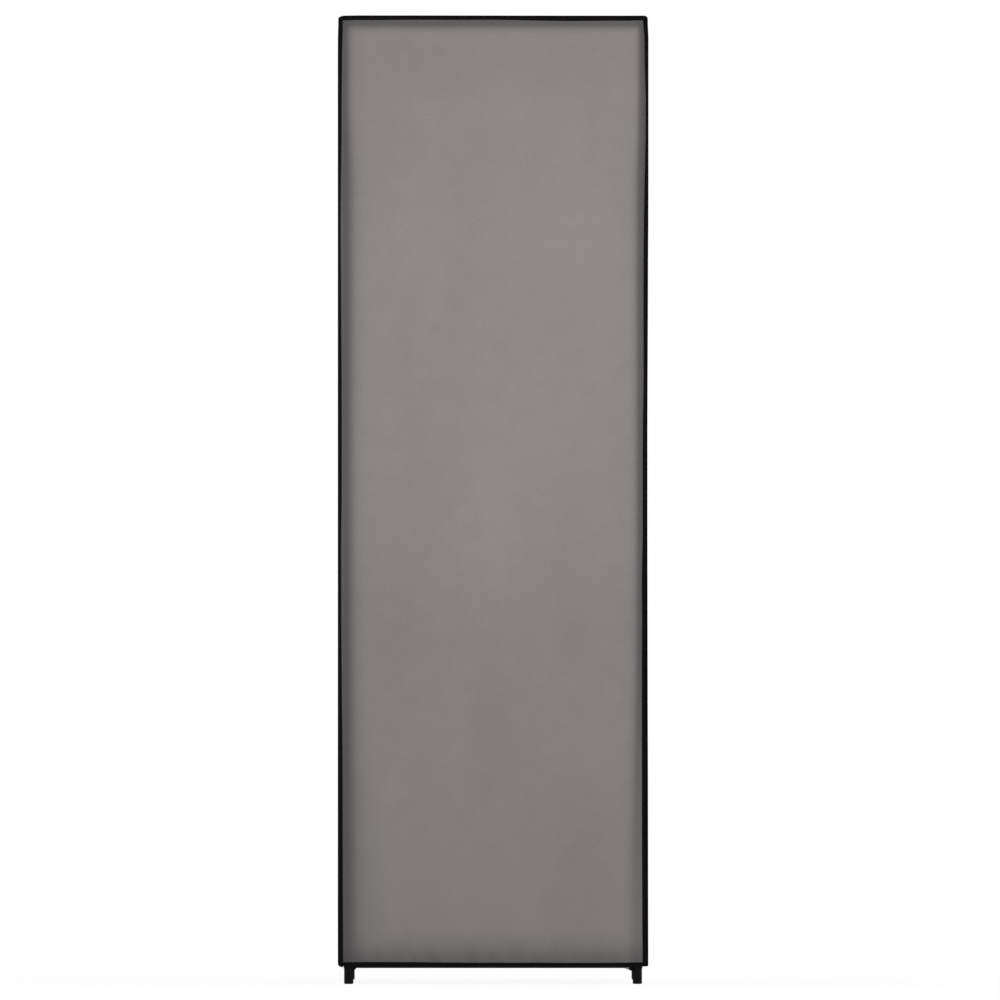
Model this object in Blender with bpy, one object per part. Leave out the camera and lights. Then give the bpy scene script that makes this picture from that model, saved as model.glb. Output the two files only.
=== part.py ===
"""Fabric wardrobe: steel tubes on moulded connectors, two cloth shelves, a hanging rod, and a sewn cloth
cover with bound seams. The front curtain unzips at both sides and is lifted to open.

Metres, +Z up. The origin is the middle of the footprint, on the floor. The front faces -Y, and left and
right are those of someone who faces the front.
"""

import math

import bmesh
import bpy
from mathutils import Matrix, Vector

# Overall size, over the bound seams
OVERALL_WIDTH = 0.750
OVERALL_DEPTH = 0.5115
OVERALL_HEIGHT = 1.600

# Cloth, binding tape and the clearance between pieces that touch
CLOTH = 0.0005
TAPE = 0.0004
FIT_GAP = 0.0003
SEAM_REACH = 0.0070
SEAM_TAPE_START = 0.0005
SEAM_TAPE_ROUNDING = 0.0045
HEM_BOTTOM = 0.0294
HEM_TAPE_HEIGHT = 0.0064
HEM_END_INSET = 0.0025

# Steel tubes and where their centre lines lie
TUBE_DIAMETER = 0.0160
TUBE_WALL = 0.0007
BOTTOM_RAIL_HEIGHT = 0.0343
SHELF_RAIL_HEIGHT = 0.600
UPPER_JOINT_SHARE = 0.5
ROD_DROP = 0.042
ROUND_SIDES = 16

# Moulded connectors
SHOULDER_REACH = 0.014
COLLAR_PROUD = 0.0003
HUB_PROUD = 0.0005
SPIGOT_LENGTH = 0.025
SPIGOT_CHAMFER = 0.0012
FOOT_DIAMETER = 0.0154
FOOT_CHAMFER = 0.0010
FOOT_ROUNDING = 0.0020
WEB_REACH = 0.0050
WEB_THICKNESS = 0.0040
LONG_WEB_REACH = 0.0130
LONG_WEB_DROP = 0.0050
# The long web's lower edge, as shares of its reach and of its drop
LONG_WEB_SHARES = ((1.0, 0.10), (0.76, 0.20), (0.52, 0.44), (0.28, 0.76), (0.12, 0.92), (0.0, 1.0))
SWAGE_TAPER = 0.0015
DROP_ARM_WIDTH = 0.0100
DROP_ARM_THICKNESS = 0.0070
DROP_ARM_BEVEL = 0.0015

# Shelves
SHELF_SAG = 0.006
SHELF_SAG_STEPS = 10
SLEEVE_STEPS = 12

# Front opening, curtain and its hem
ZIP_INSET = 0.062
DOOR_HEADER = 0.012
CURTAIN_TOP_DROP = 0.093
CURTAIN_HEM_HEIGHT = 0.0080
CURTAIN_HEM_INSET = 0.0036

# Zips: a bead of teeth along each tape's edge
TEETH_WIDTH = 0.0026
TEETH_THICKNESS = 0.0016
ZIP_TAPE_WIDTH = 0.0170
OPENING_TO_ZIP = 0.0090
ZIP_TOP_STOP = 0.0040

# Zip sliders and pull tabs
SLIDER_REST_HEIGHT = 0.085
SLIDER_LENGTH = 0.0130
SLIDER_WIDTH = 0.0100
SLIDER_PLATE = 0.0008
SLIDER_PLAY = 0.0002
SLIDER_LIP = 0.0009
SLIDER_POST_WIDTH = 0.0012
SLIDER_POST_LENGTH = 0.0030
BRIDGE_WIDTH = 0.0028
BRIDGE_LENGTH = 0.0100
BRIDGE_BAR = 0.0008
BRIDGE_CLEARANCE = 0.0022
TAB_THICKNESS = 0.0011
TAB_LENGTH = 0.0360
TAB_WIDTH = 0.0080
TAB_NECK_WIDTH = 0.0066
TAB_EYE_WIDTH = 0.0042
TAB_EYE_LENGTH = 0.0074
TAB_PIN_HEIGHT = 0.0012
TAB_EYE_STEPS = 8
# A slider's outline, as shares of its half width and half length, with the shoulders at the bottom
SLIDER_OUTLINE_SHARES = (
    (-1.0, -0.55), (-0.70, -1.0), (0.70, -1.0), (1.0, -0.55), (1.0, 0.15),
    (0.76, 0.74), (0.46, 1.0), (-0.46, 1.0), (-0.76, 0.74), (-1.0, 0.15),
)

# Tie straps for the lifted curtain
STRAP_THICKNESS = 0.0006
STRAP_WIDTH = 0.018
STRAP_LENGTH = 0.240
STRAP_INSET = 0.150

# What follows from the sizes above
TUBE_RADIUS = TUBE_DIAMETER / 2
BORE_RADIUS = TUBE_RADIUS - TUBE_WALL
SPIGOT_RADIUS = BORE_RADIUS - FIT_GAP
COLLAR_RADIUS = TUBE_RADIUS + COLLAR_PROUD
HUB_RADIUS = TUBE_RADIUS + HUB_PROUD
FOOT_RADIUS = FOOT_DIAMETER / 2
# Between a tube and the cover lie a shelf's sleeve and the hem tape's inner arm, each with its clearance.
CLOTH_TO_TUBE = CLOTH + TAPE + 3 * FIT_GAP
# Where the outer faces of the cover's cloth lie
CLOTH_X = OVERALL_WIDTH / 2 - SEAM_REACH
CLOTH_Y = OVERALL_DEPTH / 2 - SEAM_REACH
CLOTH_Z = OVERALL_HEIGHT - SEAM_REACH
POST_X = CLOTH_X - CLOTH - CLOTH_TO_TUBE - TUBE_RADIUS
POST_Y = CLOTH_Y - CLOTH - CLOTH_TO_TUBE - TUBE_RADIUS
TOP_RAIL_HEIGHT = CLOTH_Z - CLOTH - CLOTH_TO_TUBE - TUBE_RADIUS
# The shelves' sleeves end clear of the feet's long webs.
SHELF_HALF_LENGTH = POST_X - FOOT_RADIUS - LONG_WEB_REACH - 2 * FIT_GAP
ROD_HEIGHT = TOP_RAIL_HEIGHT - ROD_DROP
# Where each upright's middle and upper tubes meet, as a share of the way from the shelf to the top
UPPER_JOINT_HEIGHT = SHELF_RAIL_HEIGHT + UPPER_JOINT_SHARE * (TOP_RAIL_HEIGHT - SHELF_RAIL_HEIGHT)
ZIP_X = CLOTH_X - ZIP_INSET
OPENING_X = ZIP_X + OPENING_TO_ZIP
CURTAIN_TOP = CLOTH_Z - CURTAIN_TOP_DROP
OPENING_TOP = CURTAIN_TOP - DOOR_HEADER
# Depths in front of the front cloth's outer face: the curtain hangs just in front of it.
CURTAIN_BACK = FIT_GAP
CURTAIN_FACE = CURTAIN_BACK + CLOTH
TEETH_FACE = CURTAIN_BACK + TEETH_THICKNESS
HEM_FOLD_RADIUS = (CLOTH + 2 * FIT_GAP + TAPE) / 2
# The header stands as far out as the curtain's hem tape does, so that the straps hang clear of both.
HEADER_FACE = (CURTAIN_BACK + CURTAIN_FACE) / 2 + HEM_FOLD_RADIUS + TAPE / 2
SLIDER_BACK = CURTAIN_BACK - SLIDER_PLAY - SLIDER_PLATE
SLIDER_CAVITY_FACE = TEETH_FACE + SLIDER_PLAY
SLIDER_FACE = SLIDER_CAVITY_FACE + SLIDER_PLATE
TAB_AXIS_DEPTH = SLIDER_FACE + BRIDGE_CLEARANCE / 2
STRAP_AXIS_DEPTH = HEADER_FACE + FIT_GAP + STRAP_THICKNESS / 2

# Where the cover's and the curtain's cloth ends, just inside the fold of the hem tape
HEM_EDGE = HEM_BOTTOM + TAPE / 2 + HEM_FOLD_RADIUS

QUARTER_TURN = math.pi / 2
CORNERS = (
    ("front_left", -1, -1, 0),
    ("front_right", 1, -1, 1),
    ("back_right", 1, 1, 2),
    ("back_left", -1, 1, 3),
)
LEFT_RIGHT = (("left", -1), ("right", 1))
FRONT_BACK = (("front", -1), ("back", 1))
ROOT_TWO = math.sqrt(2)


def clear_scene():
    for thing in list(bpy.data.objects):
        bpy.data.objects.remove(thing)


def material(name, colour, roughness, metallic=0.0):
    made = bpy.data.materials.new(name)
    made.use_nodes = True
    shader = made.node_tree.nodes["Principled BSDF"]
    shader.inputs["Base Color"].default_value = (*colour, 1.0)
    shader.inputs["Roughness"].default_value = roughness
    shader.inputs["Metallic"].default_value = metallic
    return made


def to_mesh(shape, name):
    """The mesh of a bmesh, with its round stretches shaded smooth."""
    bmesh.ops.recalc_face_normals(shape, faces=shape.faces)
    made = bpy.data.meshes.new(name)
    shape.to_mesh(made)
    shape.free()
    made.shade_smooth()
    made.set_sharp_from_angle(angle=math.radians(30))
    return made


def place(name, data, finish, location=(0, 0, 0), rotation=(0, 0, 0), parent=None):
    """A named object with this mesh or curve, finish and place."""
    thing = bpy.data.objects.new(name, data)
    if finish.name not in data.materials:
        data.materials.append(finish)
    thing.location = location
    thing.rotation_euler = rotation
    thing.parent = parent
    bpy.context.scene.collection.objects.link(thing)
    return thing


def turned(profile):
    """A solid turned about Z from (radius, height) points that start and end on the axis."""
    shape = bmesh.new()
    points = [shape.verts.new((radius, 0, height)) for radius, height in profile]
    edges = [shape.edges.new(pair) for pair in zip(points, points[1:])]
    bmesh.ops.spin(
        shape, geom=points + edges, cent=(0, 0, 0), axis=(0, 0, 1), angle=math.tau,
        steps=ROUND_SIDES, use_merge=True,
    )
    bmesh.ops.remove_doubles(shape, verts=shape.verts, dist=FIT_GAP / 100)
    return shape


def turned_ring(corners):
    """A hollow solid turned about Z from the (radius, height) corners of its wall."""
    shape = bmesh.new()
    points = [shape.verts.new((radius, 0, height)) for radius, height in corners]
    edges = [shape.edges.new((points[i - 1], points[i])) for i in range(len(points))]
    bmesh.ops.spin(
        shape, geom=points + edges, cent=(0, 0, 0), axis=(0, 0, 1), angle=math.tau,
        steps=ROUND_SIDES, use_merge=True,
    )
    return shape


def tube(length):
    """A plain tube on Z from the origin upwards."""
    return turned_ring([(TUBE_RADIUS, 0), (TUBE_RADIUS, length), (BORE_RADIUS, length), (BORE_RADIUS, 0)])


def plate(outline, thickness):
    """A flat plate with this outline in X and Y, extruded along +Z from the plane Z = 0."""
    shape = bmesh.new()
    face = shape.faces.new([shape.verts.new((x, y, 0)) for x, y in outline])
    grown = bmesh.ops.extrude_face_region(shape, geom=[face])["geom"]
    moved = [piece for piece in grown if isinstance(piece, bmesh.types.BMVert)]
    bmesh.ops.translate(shape, vec=(0, 0, thickness), verts=moved)
    return shape


def lofted(sections, flat_side=False):
    """A closed skin through rings of matching points, with a cap on the first ring and on the last. With
    flat_side, one face closes the rings' first side, which lies in one plane."""
    shape = bmesh.new()
    rings = [[shape.verts.new(point) for point in section] for section in sections]
    count = len(rings[0])
    for near, far in zip(rings, rings[1:]):
        for i in range(1 if flat_side else 0, count):
            j = (i + 1) % count
            shape.faces.new((near[i], near[j], far[j], far[i]))
    if flat_side:
        shape.faces.new([ring[0] for ring in rings] + [ring[1] for ring in reversed(rings)])
    shape.faces.new(rings[0])
    shape.faces.new(rings[-1])
    return shape


def joined(name, shapes):
    """One mesh, the Boolean union of several bmeshes."""
    things = []
    for number, shape in enumerate(shapes):
        mesh = to_mesh(shape, f"{name}_{number}")
        things.append(bpy.data.objects.new(mesh.name, mesh))
        bpy.context.scene.collection.objects.link(things[-1])
    body, *others = things
    for other in others:
        union = body.modifiers.new(other.name, "BOOLEAN")
        union.operation = "UNION"
        union.object = other
    graph = bpy.context.evaluated_depsgraph_get()
    made = bpy.data.meshes.new_from_object(body.evaluated_get(graph))
    for thing in things:
        bpy.data.objects.remove(thing)
    made.name = name
    made.shade_smooth()
    made.set_sharp_from_angle(angle=math.radians(30))
    return made


def aimed(shape, direction, start=(0, 0, 0)):
    """Turns a shape built on +Z so that it points along this direction, and moves it to start."""
    turn = Vector((0, 0, 1)).rotation_difference(Vector(direction)).to_matrix().to_4x4()
    bmesh.ops.transform(shape, matrix=Matrix.Translation(start) @ turn, verts=shape.verts)
    return shape


# Frame


def spigot(start_radius, start):
    """Profile points of a shoulder and the spigot beyond it, from start along the axis."""
    shoulder = start + SHOULDER_REACH
    end = shoulder + SPIGOT_LENGTH
    return [
        (start_radius, shoulder), (SPIGOT_RADIUS, shoulder),
        (SPIGOT_RADIUS, end - SPIGOT_CHAMFER), (SPIGOT_RADIUS - SPIGOT_CHAMFER, end), (0, end),
    ]


def arm():
    """A connector's side arm on +Z from the hub's centre: collar, shoulder and spigot."""
    return turned([(0, 0), (COLLAR_RADIUS, 0), *spigot(COLLAR_RADIUS, 0)])


def standing_web(outline, direction):
    """A web with this outline, whose X runs along the direction and whose Y runs up."""
    shape = plate(outline, WEB_THICKNESS)
    stand_up = Matrix.Rotation(QUARTER_TURN, 4, "X")
    centre = Matrix.Translation((0, WEB_THICKNESS / 2, 0))
    bmesh.ops.transform(shape, matrix=centre @ stand_up, verts=shape.verts)
    angle = math.atan2(direction[1], direction[0])
    bmesh.ops.rotate(shape, cent=(0, 0, 0), matrix=Matrix.Rotation(angle, 3, "Z"), verts=shape.verts)
    return shape


def web(inner, under, direction, down=True):
    """A moulded web in the angle below (or above) a side arm: a right triangle between the upright's
    surface, at radius inner, and the arm's surface, at height under."""
    sign = -1 if down else 1
    buried = WEB_REACH / 2
    outline = [
        (inner - buried, under - sign * buried), (inner + WEB_REACH, under - sign * buried),
        (inner + WEB_REACH, under), (inner, under + sign * WEB_REACH),
        (inner - buried, under + sign * WEB_REACH),
    ]
    return standing_web(outline, direction)


def long_web(inner, under, direction):
    """A longer web below a side arm, with a curved lower edge, whose tip runs on clear below the rail."""
    buried = WEB_REACH / 2
    collar_end = inner + WEB_REACH
    outline = [
        (inner - buried, under + buried), (collar_end, under + buried), (collar_end, under),
        (inner + LONG_WEB_REACH, under),
    ]
    outline += [
        (inner + LONG_WEB_REACH * along, under - LONG_WEB_DROP * down) for along, down in LONG_WEB_SHARES
    ]
    outline.append((inner - buried, under - LONG_WEB_DROP))
    return standing_web(outline, direction)


def foot_connector():
    """Bottom corner piece: a foot peg, a hub, a spigot upwards and one along each rail, with a short web
    below one arm and a long one below the other. Its origin is where the rails' centre lines meet."""
    floor = -BOTTOM_RAIL_HEIGHT
    hub_bottom = -COLLAR_RADIUS - FIT_GAP
    rounding = [
        (FOOT_RADIUS - FOOT_ROUNDING * (1 - math.sin(a)), floor + FOOT_ROUNDING * (1 - math.cos(a)))
        for a in (0, QUARTER_TURN / 2, QUARTER_TURN)
    ]
    column = turned([
        (0, floor), *rounding, (FOOT_RADIUS, hub_bottom), (HUB_RADIUS, hub_bottom), *spigot(HUB_RADIUS, 0),
    ])
    shapes = [
        column,
        aimed(arm(), (1, 0, 0)), web(FOOT_RADIUS, -COLLAR_RADIUS, (1, 0, 0)),
        aimed(arm(), (0, 1, 0)), long_web(FOOT_RADIUS, -COLLAR_RADIUS, (0, 1, 0)),
    ]
    return joined("foot_connector", shapes)


def shelf_connector():
    """Tee at shelf height: spigots up and down, and one along the shelf rail on +X."""
    upper = spigot(HUB_RADIUS, 0)
    lower = [(radius, -height) for radius, height in reversed(upper)]
    shapes = [turned(lower + upper), aimed(arm(), (1, 0, 0))]
    for down in (True, False):
        under = -COLLAR_RADIUS if down else COLLAR_RADIUS
        shapes.append(web(HUB_RADIUS, under, (1, 0, 0), down))
    return joined("shelf_connector", shapes)


def top_connector():
    """Top corner piece: a spigot downwards and one along each top rail, under a flat-topped hub."""
    lower = [(radius, -height) for radius, height in reversed(spigot(HUB_RADIUS, 0))]
    hub_top = COLLAR_RADIUS + FIT_GAP
    rim = [(HUB_RADIUS, hub_top - FOOT_CHAMFER), (HUB_RADIUS - FOOT_CHAMFER, hub_top), (0, hub_top)]
    shapes = [turned(lower + rim)]
    for direction in ((1, 0, 0), (0, 1, 0)):
        shapes.append(aimed(arm(), direction))
        shapes.append(web(HUB_RADIUS, -COLLAR_RADIUS, direction))
    return joined("top_connector", shapes)


def rod_bracket():
    """Joins the two halves of a top side rail, along Y, and drops an arm that carries the hanging rod on
    +X. Its origin is on the rail's centre line."""
    fore = spigot(COLLAR_RADIUS, 0)
    aft = [(radius, -height) for radius, height in reversed(fore)]
    rail_joint = aimed(turned(aft + fore), (0, 1, 0))
    half_width, half_depth = DROP_ARM_THICKNESS / 2, DROP_ARM_WIDTH / 2
    bevel = DROP_ARM_BEVEL
    outline = [
        (half_width - bevel, -half_depth), (half_width, bevel - half_depth),
        (half_width, half_depth - bevel), (half_width - bevel, half_depth),
        (bevel - half_width, half_depth), (-half_width, half_depth - bevel),
        (-half_width, bevel - half_depth), (bevel - half_width, -half_depth),
    ]
    drop = plate(outline, ROD_DROP)
    bmesh.ops.translate(drop, vec=(0, 0, -ROD_DROP), verts=drop.verts)
    boss = turned([(0, -half_width - FOOT_CHAMFER), (COLLAR_RADIUS, -half_width - FOOT_CHAMFER),
                   *spigot(COLLAR_RADIUS, 0)])
    return joined("rod_bracket", [rail_joint, drop, aimed(boss, (1, 0, 0), (0, 0, -ROD_DROP))])


def rail(name, start, direction, steel):
    """A tube between the shoulders of the connectors that are centred on start and on start + direction."""
    span = Vector(direction)
    run = span.normalized()
    butt = SHOULDER_REACH + FIT_GAP
    mesh = to_mesh(tube(span.length - 2 * butt), name)
    turn = Vector((0, 0, 1)).rotation_difference(run).to_euler()
    return place(name, mesh, steel, Vector(start) + run * butt, turn)


def swaged_tube(length):
    """A tube on Z whose upper end is drawn in, up to its length, and runs on inside the next tube."""
    inner_tip = SPIGOT_RADIUS - TUBE_WALL
    taper, tip = length - SWAGE_TAPER, length + SPIGOT_LENGTH
    return turned_ring([
        (TUBE_RADIUS, 0), (TUBE_RADIUS, taper), (SPIGOT_RADIUS, length), (SPIGOT_RADIUS, tip),
        (inner_tip, tip), (inner_tip, length), (BORE_RADIUS, taper), (BORE_RADIUS, 0),
    ])


def upright(name, x, y, low, high, shape_of, steel):
    """A length of upright from height low to height high, less the fit gap at its lower end."""
    mesh = to_mesh(shape_of(high - low - FIT_GAP), name)
    return place(name, mesh, steel, (x, y, low + FIT_GAP))


def build_frame(steel, plastic):
    foot, tee, top = foot_connector(), shelf_connector(), top_connector()
    above_foot = BOTTOM_RAIL_HEIGHT + SHOULDER_REACH
    below_shelf = SHELF_RAIL_HEIGHT - SHOULDER_REACH - FIT_GAP
    above_shelf = SHELF_RAIL_HEIGHT + SHOULDER_REACH
    below_top = TOP_RAIL_HEIGHT - SHOULDER_REACH - FIT_GAP
    for name, x_sign, y_sign, quarters in CORNERS:
        x, y = x_sign * POST_X, y_sign * POST_Y
        turn = (0, 0, quarters * QUARTER_TURN)
        place(f"foot_connector_{name}", foot, plastic, (x, y, BOTTOM_RAIL_HEIGHT), turn)
        place(f"top_connector_{name}", top, plastic, (x, y, TOP_RAIL_HEIGHT), turn)
        facing = (0, 0, 0 if x_sign < 0 else 2 * QUARTER_TURN)
        place(f"shelf_connector_{name}", tee, plastic, (x, y, SHELF_RAIL_HEIGHT), facing)
        upright(f"upright_{name}_lower", x, y, above_foot, below_shelf, tube, steel)
        upright(f"upright_{name}_middle", x, y, above_shelf, UPPER_JOINT_HEIGHT, swaged_tube, steel)
        upright(f"upright_{name}_upper", x, y, UPPER_JOINT_HEIGHT, below_top, tube, steel)
    for name, y_sign in FRONT_BACK:
        y = y_sign * POST_Y
        across = (2 * POST_X, 0, 0)
        rail(f"bottom_rail_{name}", (-POST_X, y, BOTTOM_RAIL_HEIGHT), across, steel)
        rail(f"shelf_rail_{name}", (-POST_X, y, SHELF_RAIL_HEIGHT), across, steel)
        rail(f"top_rail_{name}", (-POST_X, y, TOP_RAIL_HEIGHT), across, steel)
    bracket = rod_bracket()
    for name, x_sign in LEFT_RIGHT:
        x = x_sign * POST_X
        rail(f"bottom_rail_{name}", (x, -POST_Y, BOTTOM_RAIL_HEIGHT), (0, 2 * POST_Y, 0), steel)
        rail(f"top_rail_{name}_front", (x, -POST_Y, TOP_RAIL_HEIGHT), (0, POST_Y, 0), steel)
        rail(f"top_rail_{name}_back", (x, 0, TOP_RAIL_HEIGHT), (0, POST_Y, 0), steel)
        facing = (0, 0, 0 if x_sign < 0 else 2 * QUARTER_TURN)
        place(f"rod_bracket_{name}", bracket, plastic, (x, 0, TOP_RAIL_HEIGHT), facing)
    rail("hanging_rod", (-POST_X, 0, ROD_HEIGHT), (2 * POST_X, 0, 0), steel)


# Shelves


def spline(curve, points):
    """A closed flat polyline in a curve."""
    line = curve.splines.new("POLY")
    line.points.add(len(points) - 1)
    for point, (x, y) in zip(line.points, points):
        point.co = (x, y, 0, 1)
    line.use_cyclic_u = True


def circle(centre, radius, start, sweep, steps):
    """Points of an arc about (centre, 0), from the start angle through the sweep, both ends included."""
    angles = [start + sweep * i / steps for i in range(steps + 1)]
    return [(centre + radius * math.cos(a), radius * math.sin(a)) for a in angles]


def shelf_profile():
    """A shelf's section across the depth, about the rails' height: the sagging sheet, which leaves each
    sleeve at its top, and the two sleeves. Returns the outline and the sleeves' two bores."""
    bore = TUBE_RADIUS + FIT_GAP
    outer = bore + CLOTH
    start = math.pi / 2
    sweep = math.tau - math.asin(2 * CLOTH / outer) - math.radians(20)
    front = circle(-POST_Y, outer, start, sweep, SLEEVE_STEPS)
    back = [(-x, y) for x, y in reversed(front)]
    steps = range(1, SHELF_SAG_STEPS)
    shares = [2 * i / SHELF_SAG_STEPS - 1 for i in steps]
    top = [(POST_Y * share, outer - SHELF_SAG * (1 - share * share)) for share in shares]
    under_reach = -front[-1][0]
    under_height = front[-1][1]
    under = [
        (under_reach * share, under_height - SHELF_SAG * (1 - share * share))
        for share in reversed(shares)
    ]
    outline = list(reversed(front)) + top + list(reversed(back)) + under
    bores = [circle(y, bore, 0, math.tau, ROUND_SIDES)[:-1] for y in (-POST_Y, POST_Y)]
    return outline, bores


def shelf(name, height, fabric):
    """A cloth shelf: a sheet with a sewn sleeve along its front and its back edge, which the rails fill."""
    curve = bpy.data.curves.new(name, "CURVE")
    curve.dimensions = "2D"
    curve.fill_mode = "BOTH"
    outline, bores = shelf_profile()
    for points in (outline, *bores):
        spline(curve, points)
    curve.extrude = SHELF_HALF_LENGTH
    return place(name, curve, fabric, (0, 0, height), (QUARTER_TURN, 0, QUARTER_TURN))


# Cover


def seam_point(along, aside):
    """A point of a bound seam, as distances past the corner line, outwards from the panel's face and
    sideways past the panel's edge. The seam stands out at 45 degrees. along is the distance out in its
    plane, and aside is the distance from that plane towards the panel's face."""
    return (along + aside) / ROOT_TWO, (along - aside) / ROOT_TWO


# A seam tape folds round both panels' edges: its middle line is two arms and a half circle.
FOLD_RADIUS = FIT_GAP / 2 + CLOTH + FIT_GAP + TAPE / 2
FOLD_CORNER = TAPE / 2 / math.cos(math.pi / 8)
FOLD_CENTRE = (SEAM_REACH - FOLD_RADIUS - FOLD_CORNER) * ROOT_TWO


def panel_sections(half_width, low, high, low_bound):
    """Four matching rings of a cover panel in (sideways, up, out) coordinates: its inner face, the near
    and the far side of its turned-out edges, and its outer face. low_bound is True where the lower edge is
    bound in a seam too, and otherwise it is cut straight."""
    near_face = (-CLOTH, -CLOTH - FIT_GAP / ROOT_TWO)
    near_rim = seam_point(FOLD_CENTRE, FIT_GAP / 2)
    far_rim = seam_point(FOLD_CENTRE, FIT_GAP / 2 + CLOTH)
    far_face = (0, -FIT_GAP / ROOT_TWO - CLOTH * ROOT_TWO)
    rings = []
    for out, past in (near_face, near_rim, far_rim, far_face):
        bottom = low - past if low_bound else low
        rings.append([
            (-half_width - past, bottom, out), (half_width + past, bottom, out),
            (half_width + past, high + past, out), (-half_width - past, high + past, out),
        ])
    return rings


def panel(name, axes, origin, sections, flat_side, fabric):
    """A cover panel from sections in (sideways, up, out) coordinates, whose axes are the columns of axes."""
    turn = Matrix(axes).transposed()
    shape = lofted([[turn @ Vector(point) for point in section] for section in sections], flat_side)
    return place(name, to_mesh(shape, name), fabric, origin)


def front_sections():
    """Rings across the front surround, from the left leg's foot up, over the doorway and down the right
    leg. Each ring runs from the doorway's edge to the turned-out rim and back."""
    near_face, near_rim, far_rim, far_face = (
        (ring[2][0] - CLOTH_X, ring[2][2]) for ring in panel_sections(CLOTH_X, 0, 0, True)
    )
    rim = (near_face, near_rim, far_rim, far_face)
    bottom = HEM_EDGE
    stations = ((-1, False), (-1, True), (1, True), (1, False))
    rings = []
    for x_sign, at_top in stations:
        door_height = OPENING_TOP if at_top else bottom
        ring = [(x_sign * OPENING_X, door_height, 0), (x_sign * OPENING_X, door_height, -CLOTH)]
        for past, out in rim:
            height = CLOTH_Z + past if at_top else bottom
            ring.append((x_sign * (CLOTH_X + past), height, out))
        rings.append(ring)
    return rings


def build_cover_panels(fabric):
    side = panel_sections(CLOTH_Y, HEM_EDGE, CLOTH_Z, False)
    back = panel_sections(CLOTH_X, HEM_EDGE, CLOTH_Z, False)
    top = panel_sections(CLOTH_X, -CLOTH_Y, CLOTH_Y, True)
    up = (0, 0, 1)
    panel("cover_left_side", ((0, -1, 0), up, (-1, 0, 0)), (-CLOTH_X, 0, 0), side, True, fabric)
    panel("cover_right_side", ((0, 1, 0), up, (1, 0, 0)), (CLOTH_X, 0, 0), side, True, fabric)
    panel("cover_back", ((-1, 0, 0), up, (0, 1, 0)), (0, CLOTH_Y, 0), back, True, fabric)
    panel("cover_top", ((1, 0, 0), (0, 1, 0), up), (0, 0, CLOTH_Z), top, False, fabric)
    panel("cover_front_surround", ((1, 0, 0), up, (0, -1, 0)), (0, -CLOTH_Y, 0),
          front_sections(), False, fabric)


def fold_line():
    """The middle line of a seam tape's section, as (along, aside) points from arm to arm."""
    arc = [QUARTER_TURN * (1 - i / 2) for i in range(5)]
    fold = [
        (FOLD_CENTRE + FOLD_RADIUS * math.cos(a), FOLD_RADIUS * math.sin(a)) for a in arc
    ]
    halfway = (SEAM_TAPE_START + FOLD_CENTRE) / 2
    arms = [(SEAM_TAPE_START, FOLD_RADIUS), (halfway, FOLD_RADIUS)]
    return arms + fold + [(along, -aside) for along, aside in reversed(arms)]


def mitre(along, aside):
    """How far past the corner a seam tape runs at this point of its section, to meet the two others."""
    return (along - abs(aside)) / ROOT_TWO


def rounded_foot(along, _):
    """How far a seam tape's lower end falls short at this point, which rounds its outer corner."""
    edge = FOLD_CENTRE + FOLD_RADIUS
    inside = max(0.0, along - (edge - SEAM_TAPE_ROUNDING))
    return math.sqrt(SEAM_TAPE_ROUNDING ** 2 - min(inside, SEAM_TAPE_ROUNDING) ** 2) - SEAM_TAPE_ROUNDING


def seam_tape(shape, start, end, outwards, first_end, last_end):
    """Adds a folded tape's middle sheet between two corners of the cloth box. outwards holds the signs of
    the two directions that the seam stands out to, and each end function gives how far past its corner
    the sheet runs."""
    start, end = Vector(start), Vector(end)
    run = (end - start).normalized()
    first, second = (Vector(direction) for direction in outwards)
    rows = []
    for along, aside in fold_line():
        out_first, out_second = seam_point(along, aside)
        offset = first * out_first + second * out_second
        rows.append((
            shape.verts.new(start + offset - run * first_end(along, aside)),
            shape.verts.new(end + offset + run * last_end(along, aside)),
        ))
    for (a, b), (c, d) in zip(rows, rows[1:]):
        shape.faces.new((a, b, d, c))


def folded_tape(name, shape, tape_finish):
    """Gives middle sheets the tape's thickness."""
    thing = place(name, to_mesh(shape, name), tape_finish)
    thicken = thing.modifiers.new("thickness", "SOLIDIFY")
    thicken.thickness = TAPE
    thicken.offset = 0
    thicken.use_even_offset = True
    return thing


def build_seam_binding(tape_finish):
    """The tape over the cover's eight seams, joined where three seams meet."""
    shape = bmesh.new()
    for _, x_sign, y_sign, _ in CORNERS:
        x, y = x_sign * CLOTH_X, y_sign * CLOTH_Y
        seam_tape(shape, (x, y, HEM_BOTTOM), (x, y, CLOTH_Z), ((x_sign, 0, 0), (0, y_sign, 0)),
                  rounded_foot, mitre)
    for _, y_sign in FRONT_BACK:
        y = y_sign * CLOTH_Y
        seam_tape(shape, (-CLOTH_X, y, CLOTH_Z), (CLOTH_X, y, CLOTH_Z), ((0, y_sign, 0), (0, 0, 1)),
                  mitre, mitre)
    for _, x_sign in LEFT_RIGHT:
        x = x_sign * CLOTH_X
        seam_tape(shape, (x, -CLOTH_Y, CLOTH_Z), (x, CLOTH_Y, CLOTH_Z), ((x_sign, 0, 0), (0, 0, 1)),
                  mitre, mitre)
    bmesh.ops.remove_doubles(shape, verts=shape.verts, dist=FIT_GAP / 10)
    folded_tape("seam_binding", shape, tape_finish)


def hem_line(height):
    """The middle line of a hem tape's section, folded up round a cloth's lower edge, as (depth, rise)
    points about the middle of that edge. Its arms reach up to this height over the edge."""
    line = [(HEM_FOLD_RADIUS, height)]
    for i in range(5):
        angle = QUARTER_TURN * i / 2
        line.append((HEM_FOLD_RADIUS * math.cos(angle), -HEM_FOLD_RADIUS * math.sin(angle)))
    return line + [(-HEM_FOLD_RADIUS, height)]


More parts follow.
